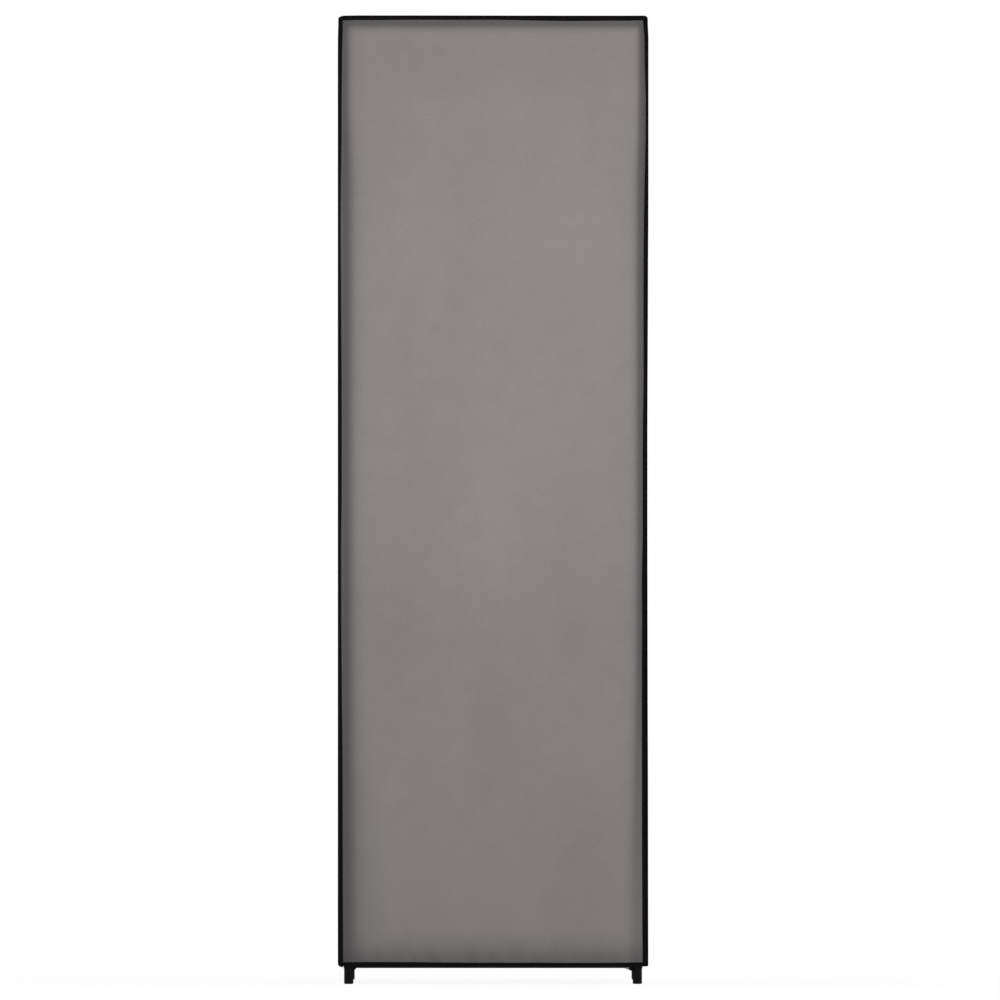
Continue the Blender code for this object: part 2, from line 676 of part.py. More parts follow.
def hem_stations(depth):
    """Places round the cover's lower edge where the hem tape turns or its arms stop, at this depth in
    front of the cloth's middle: along each panel, then at the corner, and so on."""
    x_out, y_out = (reach - CLOTH / 2 + depth for reach in (CLOTH_X, CLOTH_Y))
    x_end, y_end = CLOTH_X - HEM_END_INSET, CLOTH_Y - HEM_END_INSET
    leg_edge = ZIP_X + ZIP_TAPE_WIDTH + FIT_GAP
    left = [(-leg_edge, -y_out), (-x_end, -y_out), (-x_out, -y_out), (-x_out, -y_end),
            (-x_out, y_end), (-x_out, y_out), (-x_end, y_out)]
    return left + [(-x, y) for x, y in reversed(left)]


def build_hem_binding(tape_finish):
    """The tape folded up round the cover's lower edge. Its arms stop short of the corner seams, and only
    its fold runs on under them."""
    shape = bmesh.new()
    line = hem_line(HEM_TAPE_HEIGHT - (HEM_EDGE - HEM_BOTTOM))
    rows = [
        [shape.verts.new((x, y, HEM_EDGE + rise)) for x, y in hem_stations(depth)]
        for depth, rise in line
    ]
    fold_middle = len(rows) // 2
    for i in range(len(rows) - 1):
        for j in range(len(rows[i]) - 1):
            under_seam = j % 3 != 0
            if under_seam and i not in (fold_middle - 1, fold_middle):
                continue
            shape.faces.new((rows[i][j], rows[i][j + 1], rows[i + 1][j + 1], rows[i + 1][j]))
    loose = [vert for vert in shape.verts if not vert.link_faces]
    bmesh.ops.delete(shape, geom=loose, context="VERTS")
    folded_tape("hem_binding", shape, tape_finish)


# Front opening


def build_curtain(fabric):
    """The curtain: a sheet with a folded header sewn across its top, and a bead of zip teeth down each
    edge, which ends just above the slider's post."""
    back, face = -CLOTH_Y - CURTAIN_BACK, -CLOTH_Y - CURTAIN_FACE
    header_face = -CLOTH_Y - HEADER_FACE
    teeth_inner = ZIP_X - FIT_GAP / 2 - TEETH_WIDTH
    section = [
        (back, HEM_EDGE), (back, CURTAIN_TOP), (header_face, CURTAIN_TOP),
        (header_face, OPENING_TOP), (face, OPENING_TOP), (face, HEM_EDGE),
    ]
    overlap = FIT_GAP
    half = teeth_inner + overlap
    sheet = lofted([[(x, y, z) for y, z in section] for x in (-half, half)])
    beads = []
    low = SLIDER_REST_HEIGHT - SLIDER_LENGTH / 2 + SLIDER_POST_LENGTH + FIT_GAP
    high = OPENING_TOP - ZIP_TOP_STOP
    for _, x_sign in LEFT_RIGHT:
        inner, outer = x_sign * teeth_inner, x_sign * (teeth_inner + TEETH_WIDTH)
        outline = [
            (inner, back), (outer, back), (outer, -CLOTH_Y - TEETH_FACE), (inner, -CLOTH_Y - TEETH_FACE),
        ]
        bead = plate(outline, high - low)
        bmesh.ops.translate(bead, vec=(0, 0, low), verts=bead.verts)
        beads.append(bead)
    place("door_curtain", joined("door_curtain", [sheet, *beads]), fabric)


def build_curtain_hem(tape_finish):
    """The tape folded up round the curtain's lower edge."""
    shape = bmesh.new()
    half = ZIP_X - CURTAIN_HEM_INSET
    middle = (CURTAIN_BACK + CURTAIN_FACE) / 2
    rows = [
        [shape.verts.new((x, -middle - depth, rise)) for x in (-half, half)]
        for depth, rise in hem_line(CURTAIN_HEM_HEIGHT - (HEM_EDGE - HEM_BOTTOM))
    ]
    for (a, b), (c, d) in zip(rows, rows[1:]):
        shape.faces.new((a, b, d, c))
    folded_tape("curtain_hem", shape, tape_finish).location = (0, -CLOTH_Y, HEM_EDGE)


def build_zip_tape(name, x_sign, tape_finish):
    """The zip half that stays with the cover: a tape sewn over the doorway's edge, with its teeth."""
    teeth_inner = FIT_GAP / 2
    teeth_outer = teeth_inner + TEETH_WIDTH
    outline = [
        (teeth_inner, CURTAIN_BACK), (ZIP_TAPE_WIDTH, CURTAIN_BACK), (ZIP_TAPE_WIDTH, CURTAIN_FACE),
        (teeth_outer, CURTAIN_FACE), (teeth_outer, TEETH_FACE), (teeth_inner, TEETH_FACE),
    ]
    shape = plate([(x_sign * x, -depth) for x, depth in outline], CURTAIN_TOP - HEM_BOTTOM)
    place(name, to_mesh(shape, name), tape_finish, (x_sign * ZIP_X, -CLOTH_Y, HEM_BOTTOM))


def facing_front(shape, depth):
    """Stands a shape built in X and Y, with its thickness on Z, up against the front: Y becomes up, Z
    becomes outwards, and its back lies at this depth in front of the origin."""
    turn = Matrix.Rotation(QUARTER_TURN, 4, "X")
    bmesh.ops.transform(shape, matrix=Matrix.Translation((0, -depth, 0)) @ turn, verts=shape.verts)
    return shape


def rectangle(x_low, x_high, y_low, y_high):
    return [(x_low, y_low), (x_high, y_low), (x_high, y_high), (x_low, y_high)]


def slider(x_sign):
    """A zip slider about the middle of the zip: two plates joined by a post beside the cover's row of
    teeth, lips that hold both rows, and the bridge that carries the pull tab."""
    half_width, half_length = SLIDER_WIDTH / 2, SLIDER_LENGTH / 2
    outline = [(x * half_width, y * half_length) for x, y in SLIDER_OUTLINE_SHARES]
    shapes = [
        facing_front(plate(outline, SLIDER_PLATE), SLIDER_CAVITY_FACE),
        facing_front(plate(outline, SLIDER_PLATE), SLIDER_BACK),
    ]
    buried = SLIDER_PLATE / 2
    post_outer = -x_sign * FIT_GAP / 2
    post_inner = post_outer - x_sign * SLIDER_POST_WIDTH
    post = rectangle(post_inner, post_outer, -half_length + buried, SLIDER_POST_LENGTH - half_length)
    post_depth = SLIDER_CAVITY_FACE - CURTAIN_BACK + SLIDER_PLAY + 2 * buried
    shapes.append(facing_front(plate(post, post_depth), SLIDER_BACK + buried))
    lip_low, lip_high = (y * half_length for _, y in (SLIDER_OUTLINE_SHARES[0], SLIDER_OUTLINE_SHARES[4]))
    lip_start = CURTAIN_FACE + SLIDER_PLAY
    for side in (-1, 1):
        inner, outer = side * (half_width - SLIDER_LIP), side * (half_width - FIT_GAP / 2)
        lip = rectangle(inner, outer, lip_low + buried, lip_high - buried)
        shapes.append(facing_front(plate(lip, SLIDER_CAVITY_FACE - lip_start + buried), lip_start))
    shapes.append(bridge())
    return joined("zip_slider", shapes)


def bridge():
    """The bridge over a slider's front plate: a flat arch along its length."""
    half, foot, bar = BRIDGE_LENGTH / 2, SLIDER_FACE - SLIDER_PLATE / 2, BRIDGE_BAR
    inside = SLIDER_FACE + BRIDGE_CLEARANCE
    outside = inside + bar
    arch = [
        (-half, foot), (bar - half, foot), (bar - half, inside), (half - bar, inside),
        (half - bar, foot), (half, foot), (half, outside - bar), (half - bar, outside),
        (bar - half, outside), (-half, outside - bar),
    ]
    shape = plate([(-depth, height) for height, depth in arch], BRIDGE_WIDTH)
    along_x = Matrix(((0, 0, 1), (1, 0, 0), (0, 1, 0))).to_4x4()
    centre = Matrix.Translation((-BRIDGE_WIDTH / 2, 0, 0))
    bmesh.ops.transform(shape, matrix=centre @ along_x, verts=shape.verts)
    return shape


def tab_outline():
    """A pull tab's outline, hanging from its pin at the origin: a neck round the eye, and a wider blade
    with a round end."""
    pin, neck, half = TAB_PIN_HEIGHT / 2, TAB_NECK_WIDTH / 2, TAB_WIDTH / 2
    end = half - TAB_LENGTH
    shoulder = -TAB_EYE_LENGTH - pin
    round_end = [
        (half * math.cos(a), end + half * math.sin(a))
        for a in (-math.pi * i / TAB_EYE_STEPS for i in range(TAB_EYE_STEPS + 1))
    ]
    return [(-half, shoulder - half), (-neck, shoulder), (-neck, 0), (pin - neck, pin),
            (neck - pin, pin), (neck, 0), (neck, shoulder), (half, shoulder - half), *round_end]


def tab_eye():
    """The eye that the bridge passes through: a slot with a round lower end."""
    pin, half = TAB_PIN_HEIGHT / 2, TAB_EYE_WIDTH / 2
    low = half - TAB_EYE_LENGTH
    round_end = [
        (half * math.cos(a), low + half * math.sin(a))
        for a in (-math.pi * i / TAB_EYE_STEPS for i in range(TAB_EYE_STEPS + 1))
    ]
    return [(-half, -pin), (half, -pin), *round_end]


def pull_tab():
    curve = bpy.data.curves.new("pull_tab", "CURVE")
    curve.dimensions = "2D"
    curve.fill_mode = "BOTH"
    spline(curve, tab_outline())
    spline(curve, tab_eye())
    curve.extrude = TAB_THICKNESS / 2
    return curve


def tie_strap():
    """A strap that hangs from its top edge: the section, with a round top and bottom, runs across its
    width. Its origin is on the line that it swings about."""
    half = STRAP_THICKNESS / 2
    section = [(half, -STRAP_LENGTH + half), (half, 0)]
    section += [(half * math.cos(a), half * math.sin(a)) for a in (math.pi / 3, 2 * math.pi / 3)]
    section += [(-half, 0), (-half, -STRAP_LENGTH + half), (0, -STRAP_LENGTH)]
    ends = (-STRAP_WIDTH / 2, STRAP_WIDTH / 2)
    return to_mesh(lofted([[(x, y, z) for y, z in section] for x in ends]), "tie_strap")


def build_front(fabric, tape_finish, metal):
    build_curtain(fabric)
    build_curtain_hem(tape_finish)
    tab, strap = pull_tab(), tie_strap()
    for name, x_sign in LEFT_RIGHT:
        zip_x = x_sign * ZIP_X
        build_zip_tape(f"zip_tape_{name}", x_sign, tape_finish)
        place(f"zip_slider_{name}", slider(x_sign), metal, (zip_x, -CLOTH_Y, SLIDER_REST_HEIGHT))
        place(f"pull_tab_{name}", tab, metal, (zip_x, -CLOTH_Y - TAB_AXIS_DEPTH, SLIDER_REST_HEIGHT),
              (QUARTER_TURN, 0, 0))
        strap_height = CURTAIN_TOP - DOOR_HEADER / 2
        place(f"tie_strap_{name}", strap, tape_finish,
              (x_sign * STRAP_INSET, -CLOTH_Y - STRAP_AXIS_DEPTH, strap_height))


def build_wardrobe():
    clear_scene()
    steel = material("black_powder_coat", (0.020, 0.019, 0.021), 0.42, 0.4)
    plastic = material("black_moulded_plastic", (0.014, 0.013, 0.015), 0.50)
    cover_cloth = material("grey_cover_cloth", (0.270, 0.238, 0.238), 0.95)
    shelf_cloth = material("grey_shelf_cloth", (0.225, 0.205, 0.205), 0.95)
    binding = material("black_binding_tape", (0.012, 0.011, 0.013), 0.85)
    zip_metal = material("black_zip_metal", (0.030, 0.029, 0.031), 0.35, 0.8)
    build_frame(steel, plastic)
    shelf("bottom_shelf", BOTTOM_RAIL_HEIGHT, shelf_cloth)
    shelf("middle_shelf", SHELF_RAIL_HEIGHT, shelf_cloth)
    build_cover_panels(cover_cloth)
    build_seam_binding(binding)
    build_hem_binding(binding)
    build_front(cover_cloth, binding, zip_metal)


build_wardrobe()
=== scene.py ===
"""Looks of the fabric wardrobe: its cloth, tapes, stitches and zips as surfaces, and the finish of its frame.

Metres, +Z up, the front faces -Y. A panel's own coordinates are sideways, up and out, seen from outside.
"""

import contextlib
import math

import bmesh
import bpy
import numpy as np
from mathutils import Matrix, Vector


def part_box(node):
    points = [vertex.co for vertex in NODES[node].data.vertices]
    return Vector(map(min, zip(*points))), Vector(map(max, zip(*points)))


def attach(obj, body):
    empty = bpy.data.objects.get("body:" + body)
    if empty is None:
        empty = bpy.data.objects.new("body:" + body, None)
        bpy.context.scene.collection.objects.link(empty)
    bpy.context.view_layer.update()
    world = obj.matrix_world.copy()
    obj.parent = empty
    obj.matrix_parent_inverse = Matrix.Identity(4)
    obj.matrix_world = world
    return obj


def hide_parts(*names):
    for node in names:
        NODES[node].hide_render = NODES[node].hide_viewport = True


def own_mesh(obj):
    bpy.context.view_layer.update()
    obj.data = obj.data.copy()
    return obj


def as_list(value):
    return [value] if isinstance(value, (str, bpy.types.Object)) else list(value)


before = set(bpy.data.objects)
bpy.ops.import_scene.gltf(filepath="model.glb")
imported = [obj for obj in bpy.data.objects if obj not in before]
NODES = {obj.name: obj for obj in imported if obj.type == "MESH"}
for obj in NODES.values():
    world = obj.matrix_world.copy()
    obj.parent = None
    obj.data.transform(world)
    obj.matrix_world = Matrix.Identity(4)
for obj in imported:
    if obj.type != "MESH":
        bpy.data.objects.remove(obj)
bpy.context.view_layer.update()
ROOT = "wardrobe"

# Sizes of the part, as its source gives them
CLOTH_X, CLOTH_Y, CLOTH_Z = 0.368, 0.24875, 1.593
CLOTH, TAPE, FIT = 0.0005, 0.0004, 0.0003
HALF_X, HALF_Y, HEIGHT = 0.375, 0.25575, 1.600
POST_Y = 0.23845
TUBE, BORE, SWAGE, SPIGOT = 0.008, 0.0073, 0.0070, 0.025
BOTTOM_RAIL, SHELF_RAIL = 0.0343, 0.600
HEM_BOTTOM, HEM_EDGE, HEM_TOP = 0.0294, 0.03035, 0.0358
HEM_TAPE_HEIGHT = 0.0064
FOLD_CENTRE, FOLD_RADIUS, SEAM_START = 0.0079, 0.00115, 0.0005
OPENING_X, OPENING_TOP, CURTAIN_TOP = 0.315, 1.488, 1.500
ZIP_X = 0.306
SLIDER_REST = 0.085
SHELF_HALF_X = 0.3364
CURTAIN_HALF = ZIP_X - 0.0036
CURTAIN_KEEP = 1 - 1.34 / (OPENING_TOP - HEM_EDGE)
CURTAIN_HEM = 0.0080
# How high the cloth reaches at rest that the hem tape holds once the curtain is lifted
HEM_HOLDS = HEM_EDGE + (CURTAIN_HEM - (HEM_EDGE - HEM_BOTTOM) + TAPE) / CURTAIN_KEEP
# The radius at which a panel's cloth bends out into its seam
BEND = 0.00092

# How far the faces on the front stand out of the cover's plane, and how far a stitch stands out of its face
CURTAIN_OUT, ZIP_TAPE_OUT, CURTAIN_TAPE_OUT, TEETH_OUT = 0.0008, 0.0008, 0.0011, 0.0011
HEADER_OUT, PATCH_OUT, STRAP_OUT = 0.00145, 0.00168, 0.0025
STITCH_PROUD = 0.00005
STITCH_PITCH, STITCH_LENGTH, STITCH_RADIUS = 0.0034, 0.0027, 0.00028

MM = 0.001
ROOT_TWO = math.sqrt(2)
UP = np.array([0.0, 0.0, 1.0])
FORWARDS = np.array([0.0, -1.0, 0.0])
SIDES = (("left", -1), ("right", 1))
ENDS = (("front", -1), ("back", 1))


# Numbers


def blend_to(value, low, high):
    """Smooth step: 0 below low, 1 above high, and 3 t^2 - 2 t^3 between."""
    t = np.clip((value - low) / (high - low), 0, 1)
    return t * t * (3 - 2 * t)


def ripples(x, y, length, seed, count=12, stretch=1.0):
    """The sum of plane sine waves of about this length in random directions, scaled to about -1 to 1.
    stretch draws them out along y."""
    rng = np.random.default_rng(seed)
    turn = rng.uniform(0, math.pi, count)
    number = math.tau / (length * rng.uniform(0.65, 1.6, count))
    phase = rng.uniform(0, math.tau, count)
    waves = np.sin(
        np.multiply.outer(x, number * np.cos(turn))
        + np.multiply.outer(y / stretch, number * np.sin(turn)) + phase
    )
    return waves.sum(axis=-1) / math.sqrt(count)


def between(low, high, step):
    """Evenly spaced numbers from low to high, about this step apart."""
    return np.linspace(low, high, max(2, int(round((high - low) / step)) + 1))


def fine_at_ends(low, high, step, fine, reach):
    """Numbers from low to high that lie closer together within reach of either end."""
    ends = between(0, reach, fine)[:-1]
    return np.concatenate([low + ends, between(low + reach, high - reach, step), high - ends[::-1]])


def stacked(*parts):
    """Points from a number or an array for each coordinate."""
    return np.stack(np.broadcast_arrays(*parts), axis=-1)


def bell(distance, width):
    return np.exp(-(distance / width) ** 2)


# Mesh making


def grid_quads(rows, columns, around_rows=False, around_columns=False):
    """The quads of a grid of rows by columns points, row after row, closed round where asked."""
    i, j = np.meshgrid(
        np.arange(rows if around_rows else rows - 1),
        np.arange(columns if around_columns else columns - 1), indexing="ij",
    )
    below, beside = (i + 1) % rows, (j + 1) % columns
    return stacked(i * columns + j, i * columns + beside, below * columns + beside,
                   below * columns + j).reshape(-1, 4)


def turned_out(points, faces, outwards):
    """The faces, turned over if their mean normal points away from outwards."""
    a, b, c = (points[faces[:, k]] for k in (0, 1, 2))
    return faces[:, ::-1] if np.cross(b - a, c - a).sum(axis=0) @ np.asarray(outwards) < 0 else faces


def joined(parts):
    """Several (points, faces, more arrays) as one."""
    points, faces, *more = zip(*parts)
    starts = np.cumsum([0, *map(len, points[:-1])])
    return (np.vstack(points), np.vstack([each + start for each, start in zip(faces, starts)]),
            *map(np.concatenate, more))


def placed(name, data):
    made = bpy.data.objects.new(name, data)
    bpy.context.scene.collection.objects.link(made)
    return made


@contextlib.contextmanager
def edited(mesh):
    """A mesh opened for editing, and written back afterwards."""
    work = bmesh.new()
    work.from_mesh(mesh)
    yield work
    work.to_mesh(mesh)
    work.free()


def thicken(made, thickness, offset=-1.0, even=True):
    """Gives a sheet its thickness, inwards from its faces unless told otherwise."""
    solid = made.modifiers.new("thickness", "SOLIDIFY")
    solid.thickness = thickness
    solid.offset = offset
    solid.use_even_offset = even


def piece(name, points, finish, faces=None, body=ROOT, uv=None, values=None, smooth=True,
          outwards=None, thickness=None, offset=-1.0, node=None):
    """A mesh object from rows of points, or from points and faces, riding on a body, with the node that it
    replaces. Its faces are turned so that their mean normal agrees with outwards, or else so that it
    holds a positive volume, by the sum over the faces' fans of triangles of a . (b x c)."""
    points = np.asarray(points, float)
    faces = grid_quads(*points.shape[:2]) if faces is None else faces
    points = np.ascontiguousarray(points.reshape(-1, 3))
    sides = faces.shape[1]
    if outwards is not None:
        faces = turned_out(points, faces, outwards)
    elif sum(np.einsum("ij,ij->", points[faces[:, 0]], np.cross(points[faces[:, k]], points[faces[:, k + 1]]))
             for k in range(1, sides - 1)) < 0:
        faces = faces[:, ::-1]
    faces = np.ascontiguousarray(faces, dtype=np.int32)
    mesh = bpy.data.meshes.new(name)
    mesh.vertices.add(len(points))
    mesh.vertices.foreach_set("co", points.ravel())
    mesh.loops.add(faces.size)
    mesh.loops.foreach_set("vertex_index", faces.ravel())
    mesh.polygons.add(len(faces))
    mesh.polygons.foreach_set("loop_start", np.arange(0, faces.size, sides, dtype=np.int32))
    mesh.polygons.foreach_set("use_smooth", np.full(len(faces), smooth))
    if uv is not None:
        flat = np.asarray(uv, float).reshape(-1, 2)[faces.ravel()]
        mesh.uv_layers.new(name="cloth").data.foreach_set("uv", flat.ravel())
    for label, value in (values or {}).items():
        spread = np.ascontiguousarray(np.broadcast_to(np.ravel(value), len(points)), dtype=float)
        mesh.attributes.new(label, "FLOAT", "POINT").data.foreach_set("value", spread)
    mesh.update(calc_edges=True)
    mesh.validate()
    mesh.materials.append(finish)
    made = placed(name, mesh)
    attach(made, body)
    if thickness:
        thicken(made, thickness, offset)
    if node:
        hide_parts(node)
    return made


# Materials


class Tree:
    """The node tree of a material or a world, with short calls that add a node and give its outputs."""

    def __init__(self, owner, empty=False):
        owner.use_nodes = True
        self.nodes, self.links = owner.node_tree.nodes, owner.node_tree.links
        if empty:
            self.nodes.clear()

    def feed(self, inputs, values):
        for key, value in values.items():
            if isinstance(value, bpy.types.NodeSocket):
                self.links.new(value, inputs[key])
            else:
                inputs[key].default_value = value

    def node(self, kind, values=None, **settings):
        made = self.nodes.new("ShaderNode" + kind)
        for key, value in settings.items():
            setattr(made, key, value)
        self.feed(made.inputs, values or {})
        return made.outputs

    def maths(self, operation, *values):
        return self.node("Math", dict(enumerate(values)), operation=operation)[0]

    def times(self, first, *others):
        for other in others:
            first = self.maths("MULTIPLY", first, other)
        return first

    def noise(self, vector, scale, detail, rough):
        return self.node("TexNoise", {
            "Vector": vector, "Scale": scale, "Detail": detail, "Roughness": rough})["Fac"]

    def mix(self, share, first, second, kind="MIX"):
        return self.node("Mix", {0: share, 6: first, 7: second}, data_type="RGBA", blend_type=kind)[2]

    def ranged(self, value, low, high, new_low, new_high, kind="LINEAR"):
        return self.node("MapRange", {
            "Value": value, "From Min": low, "From Max": high, "To Min": new_low, "To Max": new_high,
        }, interpolation_type=kind)[0]

    def value(self, label):
        return self.node("Attribute", attribute_name=label)["Fac"]

    def bump(self, height, distance, strength=1.0, **under):
        return self.node("Bump", {
            "Height": height, "Distance": distance, "Strength": strength, **under})["Normal"]

    def dyed(self, colour, tone):
        """The colour times the tone."""
        return self.mix(1.0, (*colour, 1.0), self.node("CombineXYZ", dict.fromkeys("XYZ", tone))[0], "MULTIPLY")


class Finish(Tree):
    """A new material's node tree."""

    def __init__(self, name, roughness, metallic=0.0, specular=0.5, sheen=(0.0, 0.5)):
        self.material = bpy.data.materials.new(name)
        super().__init__(self.material)
        self.set({"Roughness": roughness, "Metallic": metallic, "Specular IOR Level": specular,
                  "Sheen Weight": sheen[0], "Sheen Roughness": sheen[1]})

    def set(self, values):
        self.feed(self.nodes["Principled BSDF"].inputs, values)


def grey(value, tint=(1.0, 1.0, 1.0)):
    return tuple(value * t for t in tint) + (1.0,)


def non_woven(name, colour):
    """Spun-bonded cloth: matted fibres in two directions, a fine grid of bonded dots 1.1 mm apart, clouded
    density, and painted shadow where the tube_shadow attribute says, for the tubes behind it showing through
    and for shade along its edges: there the cloth is also painted greyer and less warm."""
    made = Finish(name, 0.93, specular=0.25, sheen=(0.06, 0.6))
    flat = made.node("TexCoord")["UV"]
    fibres = made.maths("ADD", *(
        made.noise(made.node("Mapping", {"Vector": flat, "Scale": scale, "Rotation": (0.0, 0.0, turn)})[0],
                   900.0, 3.0, 0.7)
        for scale, turn in (((1.0, 0.22, 1.0), 0.5), ((0.22, 1.0, 1.0), 0.4))))
    x, y = made.node("SeparateXYZ", {"Vector": flat})[:2]
    dots = made.times(*(
        made.maths("SINE", made.times(made.maths(kind, x, y), math.tau / 0.0011 / ROOT_TWO))
        for kind in ("ADD", "SUBTRACT")))
    bonded = made.maths("MAXIMUM", dots, 0.0)
    cloth = made.dyed(colour, made.times(
        made.value("tone"),
        made.ranged(made.noise(flat, 26.0, 5.0, 0.62), 0.25, 0.75, 0.965, 1.035),
        made.ranged(made.noise(flat, 240.0, 3.0, 0.6), 0.25, 0.75, 0.955, 1.045),
        made.ranged(fibres, 0.6, 1.4, 0.955, 1.045),
        made.ranged(bonded, 0.0, 1.0, 1.01, 0.93)))
    # Painted shadow: the tubes behind the cloth showing through, and shade along its edges
    behind = made.value("tube_shadow")
    # Under the painted shadow the cloth is painted greyer and less warm
    painted_shade_hue = made.mix(1.0, cloth, (0.94, 1.0, 0.985, 1.0), "MULTIPLY")
    cloth = made.mix(made.ranged(behind, 0.0, 0.06, 0.0, 1.0), cloth, painted_shade_hue)
    fine = made.bump(made.maths("SUBTRACT", fibres, made.times(bonded, 0.9)), 0.00012)
    # The painted shadow mixes in the tubes' dark colour
    made.set({
        "Base Color": made.mix(behind, cloth, (0.024, 0.023, 0.028, 1.0)),
        "Normal": made.bump(made.noise(flat, 60.0, 3.0, 0.5), 0.0010, 0.5, Normal=fine),
    })
    return made.material


def woven_tape(name, colour, rib, depth, painted_light=False):
    """Woven tape: ribs across its length this far apart, each broken by the warp, with a little lint. Its
    map runs along the tape, then across it. With painted light, the tape has painted shade at its edges and
    its fold, where it turns away, and a painted highlight in the middle of each arm."""
    made = Finish(name, 0.88, specular=0.04, sheen=(0.01, 0.5))
    flat = made.node("TexCoord")["UV"]
    along, across = made.node("SeparateXYZ", {"Vector": flat})[:2]
    checks = made.times(made.maths("SINE", made.times(along, math.tau / rib)),
                        made.maths("SINE", made.times(across, math.tau / rib / 1.2)))
    yarn = made.maths("ADD", made.maths("ABSOLUTE", checks), made.noise(flat, 1800.0, 2.0, 0.6))
    lint = made.maths("GREATER_THAN", made.noise(flat, 700.0, 2.0, 0.5), 0.72)
    tone = made.times(made.ranged(yarn, 0.3, 1.5, 0.65, 1.35),
                      made.ranged(made.noise(flat, 90.0, 3.0, 0.6), 0.3, 0.7, 0.85, 1.2))
    if painted_light:
        # Painted light: paler in the middle of each arm, darker at its edges and its fold
        tone = made.times(tone, made.ranged(made.value("crown"), 0.35, 1.0, 0.25, 1.35))
    made.set({"Base Color": made.mix(made.times(lint, 0.05), made.dyed(colour, tone), grey(0.09)),
              "Normal": made.bump(yarn, depth)})
    return made.material


def grained(name, roughness, mottle, spread, dark, pale, gloss, grain, depth, **surface):
    """A body whose colour goes from dark to pale, and its roughness through gloss, as a mottled noise does
    over its spread, under a fine grain. mottle and grain are a noise's scale, detail and roughness."""
    made = Finish(name, roughness, **surface)
    body = made.node("TexCoord")["Object"]
    patches = made.noise(body, *mottle)
    made.set({"Base Color": made.mix(made.ranged(patches, *spread), dark, pale),
              "Normal": made.bump(made.noise(body, *grain), depth)})
    if gloss:
        made.set({"Roughness": made.ranged(patches, 0.3, 0.7, *gloss)})
    return made.material


def sewing_thread(name, colour):
    """Twisted polyester thread: slanting plies seen as fine bands, and a slight sheen."""
    plies = (2600.0, 2.0, 0.6)
    return grained(name, 0.6, plies, (0.3, 0.7, 0.0, 1.0), grey(colour * 0.7), grey(colour * 1.5), None,
                   plies, 0.00005, specular=0.12, sheen=(0.03, 0.5))


cover_cloth = non_woven("grey cover cloth", (0.283, 0.2485, 0.2485))
shelf_cloth = non_woven("grey shelf cloth", (0.235, 0.210, 0.210))
binding_tape = woven_tape("black binding tape", (0.0048, 0.0040, 0.0048), 0.0009, 0.00012)
# The seam tape has painted light across its arms: a painted highlight in the middle, painted shade at the edges
seam_weave = woven_tape("black seam tape", (0.0050, 0.0042, 0.0050), 0.0009, 0.00012, painted_light=True)
zip_weave = woven_tape("black zip tape", (0.0090, 0.0088, 0.0094), 0.0012, 0.00016)
strap_weave = woven_tape("black strap webbing", (0.0095, 0.0092, 0.0098), 0.0016, 0.00025)
black_thread = sewing_thread("black sewing thread", 0.0085)
grey_thread = sewing_thread("grey sewing thread", 0.20)
# A fine pebbled skin on steel tube, slightly uneven gloss, dust and small rubs
steel_finish = grained(
    "black powder coat", 0.7, (35.0, 6.0, 0.65), (0.35, 0.75, 0.0, 1.0), grey(0.0030, (1, 0.9, 1)),
    grey(0.0062, (1, 0.94, 0.98)), (0.62, 0.78), (1500.0, 2.0, 0.5), 0.00006, specular=0.10)
# Polypropylene with a fine spark-eroded grain, faint flow marks and dust in the grain
plastic_finish = grained(
    "black moulded plastic", 0.7, (60.0, 4.0, 0.6), (0.35, 0.7, 0.0, 1.0), grey(0.0028, (1, 0.9, 1)),
    grey(0.0058, (1, 0.92, 1)), (0.62, 0.80), (2200.0, 2.0, 0.6), 0.00005, specular=0.08)
# Lacquer over die-cast zinc, rubbed back to a greyer metal here and there
metal_finish = grained(
    "black lacquered zinc", 0.34, (420.0, 5.0, 0.65), (0.55, 0.80, 0.0, 0.5), grey(0.022), grey(0.07),
    (0.28, 0.46), (2400.0, 2.0, 0.5), 0.00002, metallic=0.75)
# Acetal teeth: smooth, slightly glossy, with a faint grey bloom
teeth_finish = grained(
    "black zip teeth", 0.38, (300.0, 3.0, 0.6), (0.4, 0.7, 0.0, 1.0), grey(0.009), grey(0.018),
    (0.32, 0.48), (1800.0, 2.0, 0.5), 0.00003)


# Stitches


def capped(rings, low_tip, high_tip):
    """The points and triangles of a closed body: rings of points with a tip beyond the first and the last."""
    count, sides, _ = rings.shape
    cap, beside = np.arange(sides), (np.arange(sides) + 1) % sides
    last, tip = (count - 1) * sides, count * sides
    wall = grid_quads(count, sides, around_columns=True)
    triangles = np.vstack([
        wall[:, [0, 1, 2]], wall[:, [0, 2, 3]],
        stacked(tip, beside, cap), stacked(tip + 1, cap + last, beside + last)])
    return np.vstack([rings.reshape(-1, 3), low_tip, high_tip]), triangles


def copies(template, triangles, centres, axes=None):
    """A body repeated at each centre, turned there to three axes if they are given."""
    turned = template if axes is None else np.einsum("pk,nkc->npc", template, axes)
    shift = np.arange(len(centres)) * len(template)
    return (centres[:, None, :] + turned).reshape(-1, 3), (triangles + shift[:, None, None]).reshape(-1, 3)


